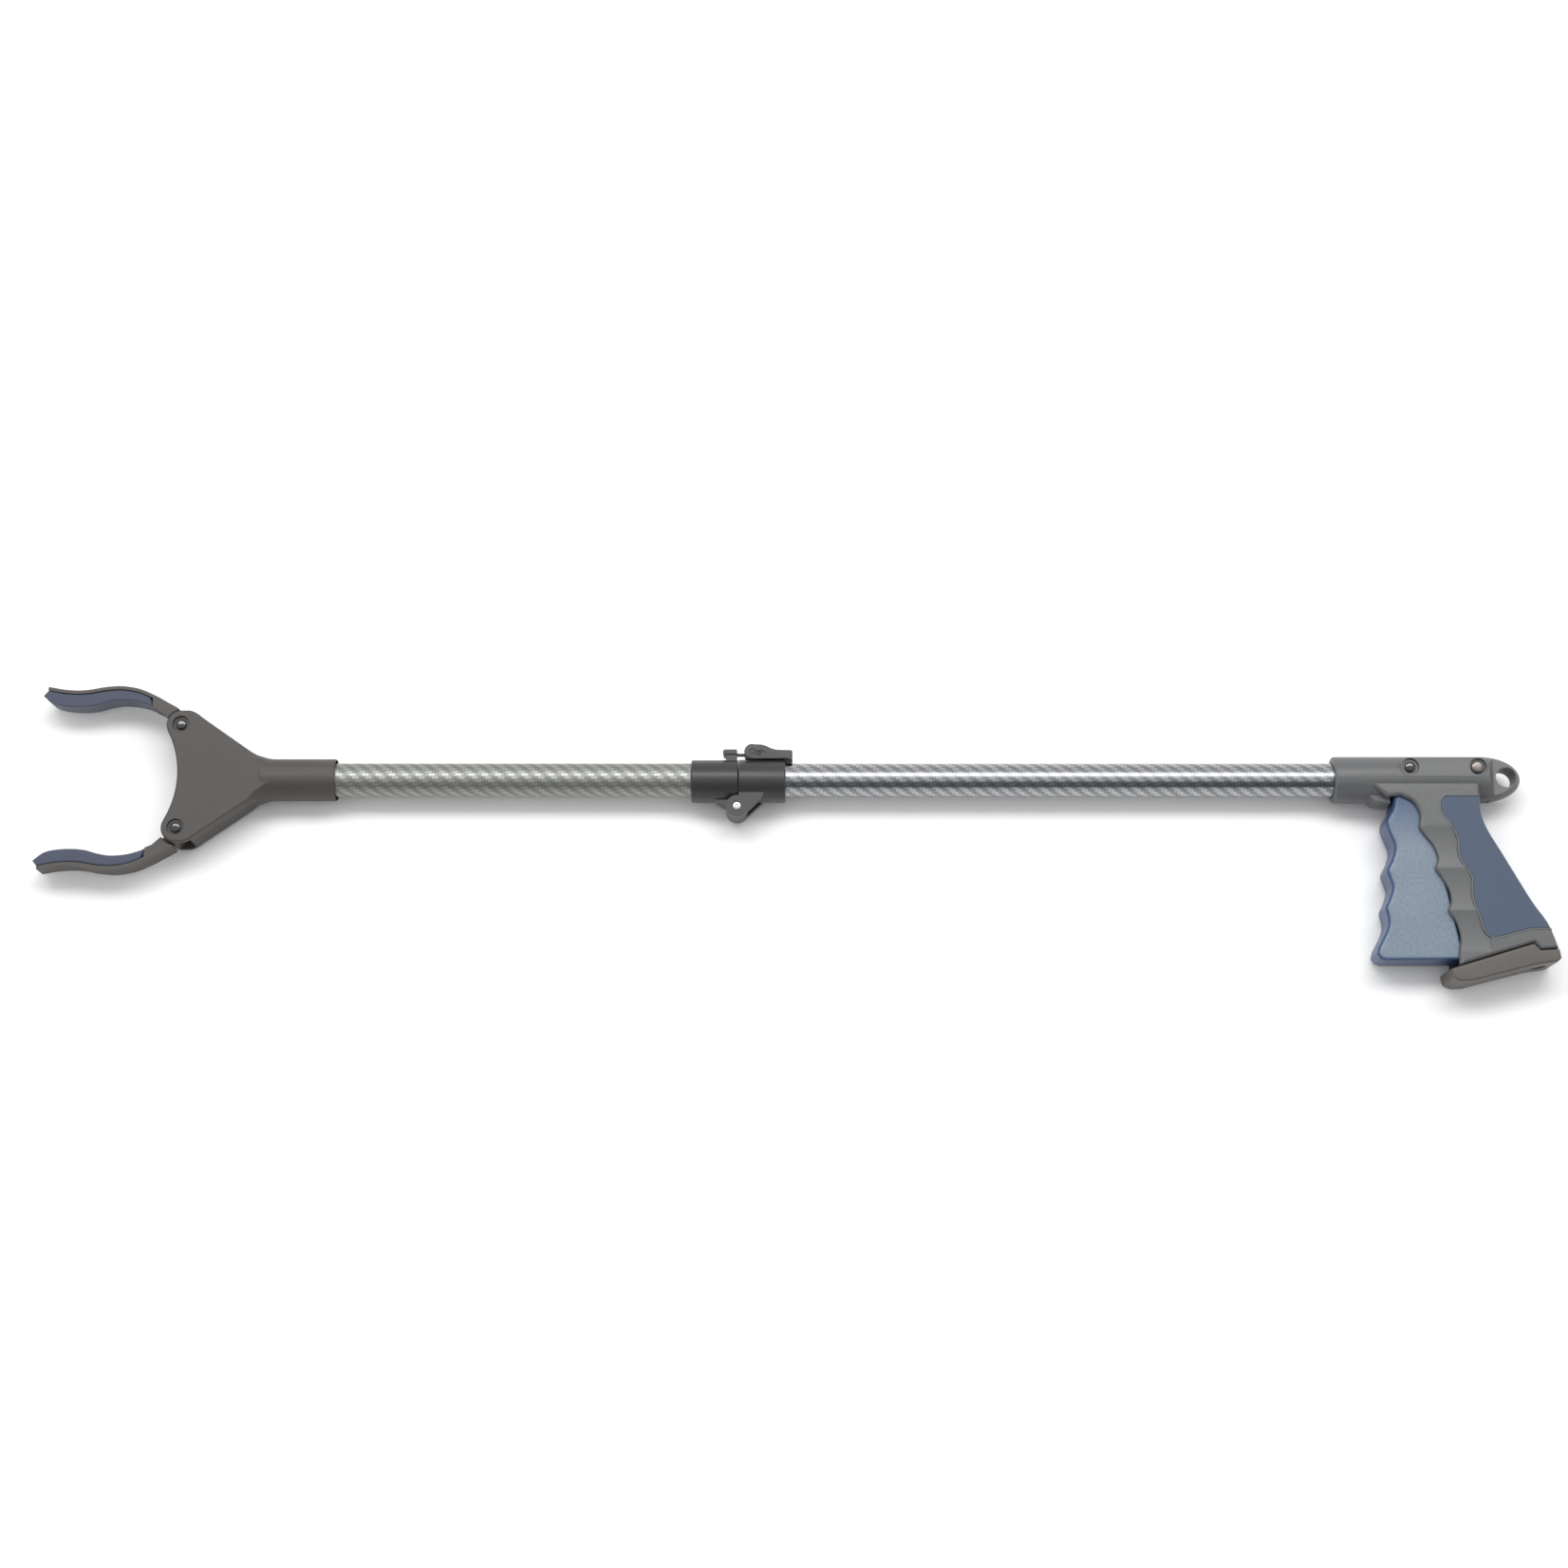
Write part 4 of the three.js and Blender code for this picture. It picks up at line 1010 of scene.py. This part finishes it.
def finger_scoops():
    """Shallow hollows for the fingers on both faces of the grip's front band."""
    radius = SCOOP["radius"]
    tools = []
    for y in SCOOP["places"]:
        for side in (1, -1):
            tool = turned([(396, 0), (396, radius), (438, radius), (438, 0)], y=y, segments=360)
            rise = side * (GRIP["half"] + radius - SCOOP["depth"])
            tool.data.transform(Matrix.Translation((0, 0, rise)))
            tools.append(cut(tool, plate(inlay_outline(GAP + LIP["width"]), -120, 120)))
    return tools


CAP_SCREW = {"x": 468.4, "y": -112.7, "tilt": 14.3}


def along_cap_screw(pairs, segments=48):
    """A body turned about the cap screw's axis, square to the sloping bottom."""
    tool = lathe(pairs, lambda a, r, t: (r * math.cos(t), a, r * math.sin(t)), segments)
    tilt = Matrix.Rotation(math.radians(CAP_SCREW["tilt"]), 4, "Z")
    tool.data.transform(Matrix.Translation((CAP_SCREW["x"], CAP_SCREW["y"], 0)) @ tilt)
    return tool


def round_tool(radius, depth):
    return along_cap_screw([(-10, 0), (-10, radius), (depth, radius), (depth, 0)])


def build_handle():
    tools = handle_hollows() + [inlay_pocket(), round_tool(2.2, 13)]
    for x, y in (TRIGGER_PIVOT, REAR_SCREW):
        tools += [post(x, y, 5.2, 12.4, 20), post(x, y, 5.2, -20, -12)]
    outer = join(cut(handle_outer(), *finger_scoops()), inlay_lip())
    shells = halves(cut(outer, *tools), 340, 490)
    inlays = halves(inlay_solid(), 400, 490)
    for side in ("left", "right"):
        complete(shells[side], f"handle_casing_{side}", "handle", "handle",
                 f"handle_shell_{side}", rounding=0.3)
        complete(inlays[side], f"soft_grip_{side}", "handle", "grip", f"grip_inlay_{side}")
    front = pivot_screw(*TRIGGER_PIVOT, 12.7, 3.2, -13.4)
    complete(front, "trigger_pivot_domed_screw", "handle", "oxide",
             "trigger_pivot_screw", rounding=0.08)
    rear = pivot_screw(*REAR_SCREW, 12.7, 3.9, -13.4)
    complete(rear, "handle_domed_screw", "handle", "dull_steel", "handle_screw", rounding=0.08)


def build_base_cap():
    outline = [
        (414, -117.2), (414.2, -116), (419.2, -114.4), (463.3, -101), (466.7, -105), (477.7, -104.3),
        (478.6, -109.8), (476.2, -112), (463.3, -113.9), (426, -123.4), (419.5, -123.6), (415, -121.5),
    ]
    body = plate(outline[::-1], -GRIP["half"], GRIP["half"], 1.4)
    cap = cut(body, round_tool(2.2, 30), round_tool(4.3, 3.1))
    complete(cap, "base_cap_moulding", "handle", "cap", "base_cap")
    screw = along_cap_screw([(0.3, 0), (0.3, 3.8), (0.5, 4), (0.7, 4), (2.8, 2), (11, 2), (11, 0)], 64)
    complete(screw, "base_cap_countersunk_screw", "handle", "steel", "base_cap_screw", rounding=0)


# ---- trigger


def build_trigger():
    x, y = TRIGGER_PIVOT
    half, neck = TRIGGER["half"], TRIGGER["neck"]
    pick_up = Vector(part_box("cable_barrel")[0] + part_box("cable_barrel")[1]) / 2
    px, py = (pick_up.x - ORIGIN.x) / MM, (pick_up.y - ORIGIN.y) / MM
    blade = smooth_line(TRIGGER_FRONT, 78) + [
        (372.4, -106.4), (374.2, -109.6), (377.6, -110.6), (421, -110.4), (423.3, -108),
        (407.5, -20), (403.6, -11), (402, -9), (389.4, -9),
    ]
    hollow = smooth_line(TRIGGER_FRONT[3:], 50, 3.4) + [
        (377.8, -107.2), (430, -107.2), (416, -24), (389.5, -24),
    ]
    body = join(
        plate(blade, -half, half, TRIGGER["round"], 5),
        plate([(390, -13), (391.4, 3), (403, 3), (403.4, -13)], -neck, neck),
        post(x, y, 6, -neck, neck),
    )
    body = cut(
        body, plate(hollow, -half + 2.8, half - 2.8), post(x, y, 2.8, -20, 20), post(px, py, 2.7, -5.3, 20),
        block(380, px, py - 2.6, py + 3.4, -1.3, 1.3),
    )
    complete(body, "trigger_moulding", "trigger", "trigger", "trigger")


# ---- cable round the fold and spring


ROPE = {"radius": 0.75, "strands": 6, "lay": 9.0, "groove": 0.12, "around": 24}
CABLE = {"y": -6.4, "dip": -14.3, "front": -9.1, "rear": 7.5}


def fold_route():
    """The cable's way under the fold: down round the hinge pin and up again."""
    x, y, dip = HINGE[0], CABLE["y"], CABLE["dip"]
    return [
        (CABLE["front"], y), (x - 4.7, y - 3), (x - 2.4, dip + 1.4), (x, dip),
        (x + 2.4, dip + 1.4), (x + 4.7, y - 3), (CABLE["rear"], y),
    ]


def wire_rope(route, steps):
    """A rope of twisted strands along a smooth line in the plane z = 0."""
    line = [Vector((*p, 0)) for p in smooth_line(route, steps)]
    edit = bmesh.new()
    rings = []
    run = 0.0
    for i, spot in enumerate(line):
        ahead = (line[min(i + 1, steps)] - line[max(i - 1, 0)]).normalized()
        aside = Vector((-ahead.y, ahead.x, 0))
        run += (spot - line[i - 1]).length if i else 0.0
        twist = 2 * math.pi * run / ROPE["lay"]
        ring = []
        for k in range(ROPE["around"]):
            angle = 2 * math.pi * k / ROPE["around"]
            dip = ROPE["groove"] * (1 - math.cos(ROPE["strands"] * (angle - twist))) / 2
            radius = ROPE["radius"] * (1 - dip)
            way = aside * math.cos(angle) + Vector((0, 0, math.sin(angle)))
            ring.append(edit.verts.new(spot + way * radius))
        rings.append(ring)
    for near, far in zip(rings, rings[1:]):
        for k in range(ROPE["around"]):
            following = (k + 1) % ROPE["around"]
            edit.faces.new([near[k], near[following], far[following], far[k]])
    edit.faces.new(rings[0])
    edit.faces.new(rings[-1])
    return solid(edit)


def build_cable_and_spring():
    """Makes the wire rope that runs round the hinge pin over the fold, and a copy of the return spring."""
    rope = wire_rope(fold_route(), 72)
    complete(rope, "fold_wire_rope", None, "steel", "fold_cable", rounding=0)
    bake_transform(rope)

    node = frame["nodes"]["return_spring"]
    mesh = node.data.copy()
    mesh.transform(TO_ROW.inverted() @ node.matrix_world)
    coil = linked(bpy.data.objects.new("coil", mesh))
    complete(coil, "coiled_return_spring", "front_arm", "steel", "return_spring", rounding=0,
             sharp=50)
    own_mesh(coil)


# ---- carried-over works


def finish_inner_works():
    """The mechanism inside keeps its solids and gets its finishes."""
    kinds = {"steel": "steel", "black_steel": "oxide", "nylon": "nylon"}
    for row in frame["record"]["subparts"]:
        node = frame["nodes"][row["node"]]
        if node.hide_render:
            continue
        kind = "oxide" if row["node"] == "latch_link_pin" else kinds[row["material_slot"]]
        material = finish_for(kind)
        node.data.materials.clear()
        node.data.materials.append(material)


# ---- stage


# Metres and degrees; each lamp's name, place, size and power in watts.
CAMERA = {"elevation": 76, "distance": 1.556, "aim": (-0.0044, 0.0315), "lens": 60}
LAMPS = (("key", (0.0, 0.75, 1.5), (2.2, 0.5), 22), ("fill", (-0.3, -0.9, 1.3), (2.0, 0.9), 0.8))


def build_stage():
    scene = bpy.context.scene
    scene.view_settings.view_transform = "Standard"
    edit = bmesh.new()
    bmesh.ops.create_grid(edit, x_segments=8, y_segments=8, size=sizes().floor / 2)
    floor = solid(edit, "floor")
    material, tree, shader, place = start_material("Matt white sweep")
    grain = add_node(tree, "TexNoise", inputs={"Vector": place, "Scale": grain_scale(60)})
    tone = add_node(tree, "Mix", {"data_type": "RGBA"}, {
        "Factor": grain, "A": rgba(colours().floor, 0.99), "B": rgba(colours().floor)})
    feed(tree, shader, {"Base Color": tone, "Roughness": 0.9})
    floor.data.materials.append(material)

    world = bpy.data.worlds.new("Soft studio")
    world.use_nodes = True
    sky = world.node_tree
    way = add_node(sky, "TexCoord").outputs["Generated"]
    heading = add_node(sky, "SeparateXYZ", inputs={0: way})
    near = add_node(sky, "MapRange", inputs={
        "Value": heading.outputs["Y"], "From Min": -0.48, "From Max": -0.22, "To Min": 1.0, "To Max": 0.0})
    high = add_node(sky, "MapRange", inputs={
        "Value": heading.outputs["Z"], "From Min": 0.3, "From Max": 0.5, "To Min": 0.0, "To Max": 1.0})
    dark = add_node(sky, "Math", {"operation": "MULTIPLY"}, {
        0: near, 1: high})
    level = add_node(sky, "MapRange", inputs={
        "Value": dark, "To Min": 1.0, "To Max": 0.08})
    feed(sky, sky.nodes["Background"], {"Color": level, "Strength": 1.0})
    scene.world = world
    for name, place, size, power in LAMPS:
        lamp = bpy.data.lights.new(name, "AREA")
        lamp.shape = "RECTANGLE"
        lamp.size, lamp.size_y = size
        lamp.energy = power
        light = linked(bpy.data.objects.new(name, lamp))
        light.location = place
        light.rotation_euler = (Vector((0, 0, 0)) - Vector(place)).to_track_quat("-Z", "Y").to_euler()

    elevation = math.radians(CAMERA["elevation"])
    aim = Vector((*CAMERA["aim"], AXIS.z))
    lens = bpy.data.cameras.new("camera")
    lens.lens = CAMERA["lens"]
    camera = linked(bpy.data.objects.new("camera", lens))
    camera.location = aim + CAMERA["distance"] * Vector((0, -math.cos(elevation), math.sin(elevation)))
    camera.rotation_euler = (aim - camera.location).to_track_quat("-Z", "Y").to_euler()
    scene.camera = camera


# ---- operators and panel


class REACHER_OT_stage(bpy.types.Operator):
    """Adds the floor, the lights and the camera"""

    bl_idname = "reacher.stage"
    bl_label = "Stage"

    def execute(self, context):
        build_stage()
        return {"FINISHED"}


class REACHER_OT_tubes(bpy.types.Operator):
    """Makes the two carbon tubes"""

    bl_idname = "reacher.tubes"
    bl_label = "Tubes"

    def execute(self, context):
        build_tubes()
        return {"FINISHED"}


class REACHER_OT_head(bpy.types.Operator):
    """Makes the two head casings"""

    bl_idname = "reacher.head"
    bl_label = "Head"

    def execute(self, context):
        build_head()
        return {"FINISHED"}


class REACHER_OT_jaws(bpy.types.Operator):
    """Makes the jaws with their linings and pivot screws"""

    bl_idname = "reacher.jaws"
    bl_label = "Jaws"

    def execute(self, context):
        build_jaws()
        return {"FINISHED"}


class REACHER_OT_fold(bpy.types.Operator):
    """Makes the fold's clamps, hinge pin and latch"""

    bl_idname = "reacher.fold"
    bl_label = "Fold"

    def execute(self, context):
        build_fold()
        return {"FINISHED"}


class REACHER_OT_handle(bpy.types.Operator):
    """Makes the handle's casings, soft grips and screws"""

    bl_idname = "reacher.handle"
    bl_label = "Handle"

    def execute(self, context):
        build_handle()
        return {"FINISHED"}


class REACHER_OT_base_cap(bpy.types.Operator):
    """Makes the grip's base cap and its screw"""

    bl_idname = "reacher.base_cap"
    bl_label = "Base cap"

    def execute(self, context):
        build_base_cap()
        return {"FINISHED"}


class REACHER_OT_trigger(bpy.types.Operator):
    """Makes the trigger"""

    bl_idname = "reacher.trigger"
    bl_label = "Trigger"

    def execute(self, context):
        build_trigger()
        return {"FINISHED"}


class REACHER_OT_cable_and_spring(bpy.types.Operator):
    """Makes the cable over the fold and the return spring"""

    bl_idname = "reacher.cable_and_spring"
    bl_label = "Cable and spring"

    def execute(self, context):
        build_cable_and_spring()
        return {"FINISHED"}


class REACHER_OT_inner_works(bpy.types.Operator):
    """Gives the mechanism inside its finishes"""

    bl_idname = "reacher.inner_works"
    bl_label = "Inner works"

    def execute(self, context):
        finish_inner_works()
        return {"FINISHED"}


OPERATORS = (
    REACHER_OT_stage, REACHER_OT_tubes, REACHER_OT_head, REACHER_OT_jaws, REACHER_OT_fold,
    REACHER_OT_handle, REACHER_OT_base_cap, REACHER_OT_trigger, REACHER_OT_cable_and_spring,
    REACHER_OT_inner_works,
)


class REACHER_PT_panel(bpy.types.Panel):
    """Lists the reacher's pieces and settings"""

    bl_label = "Reacher grabber"
    bl_idname = "REACHER_PT_panel"
    bl_space_type = "VIEW_3D"
    bl_region_type = "UI"
    bl_category = "Reacher"

    def draw(self, context):
        for group in (context.scene.reacher_sizes, context.scene.reacher_colours):
            for name in group.__annotations__:
                self.layout.prop(group, name)
        for operator in OPERATORS:
            self.layout.operator(operator.bl_idname)


CLASSES = (ReacherSizes, ReacherColours, *OPERATORS, REACHER_PT_panel)


def register():
    for item in CLASSES:
        bpy.utils.register_class(item)
    bpy.types.Scene.reacher_sizes = bpy.props.PointerProperty(type=ReacherSizes)
    bpy.types.Scene.reacher_colours = bpy.props.PointerProperty(type=ReacherColours)


def unregister():
    del bpy.types.Scene.reacher_colours
    del bpy.types.Scene.reacher_sizes
    for item in reversed(CLASSES):
        bpy.utils.unregister_class(item)


def main():
    register()
    for operator in OPERATORS:
        family, name = operator.bl_idname.split(".")
        getattr(getattr(bpy.ops, family), name)()


if __name__ == "__main__":
    main()
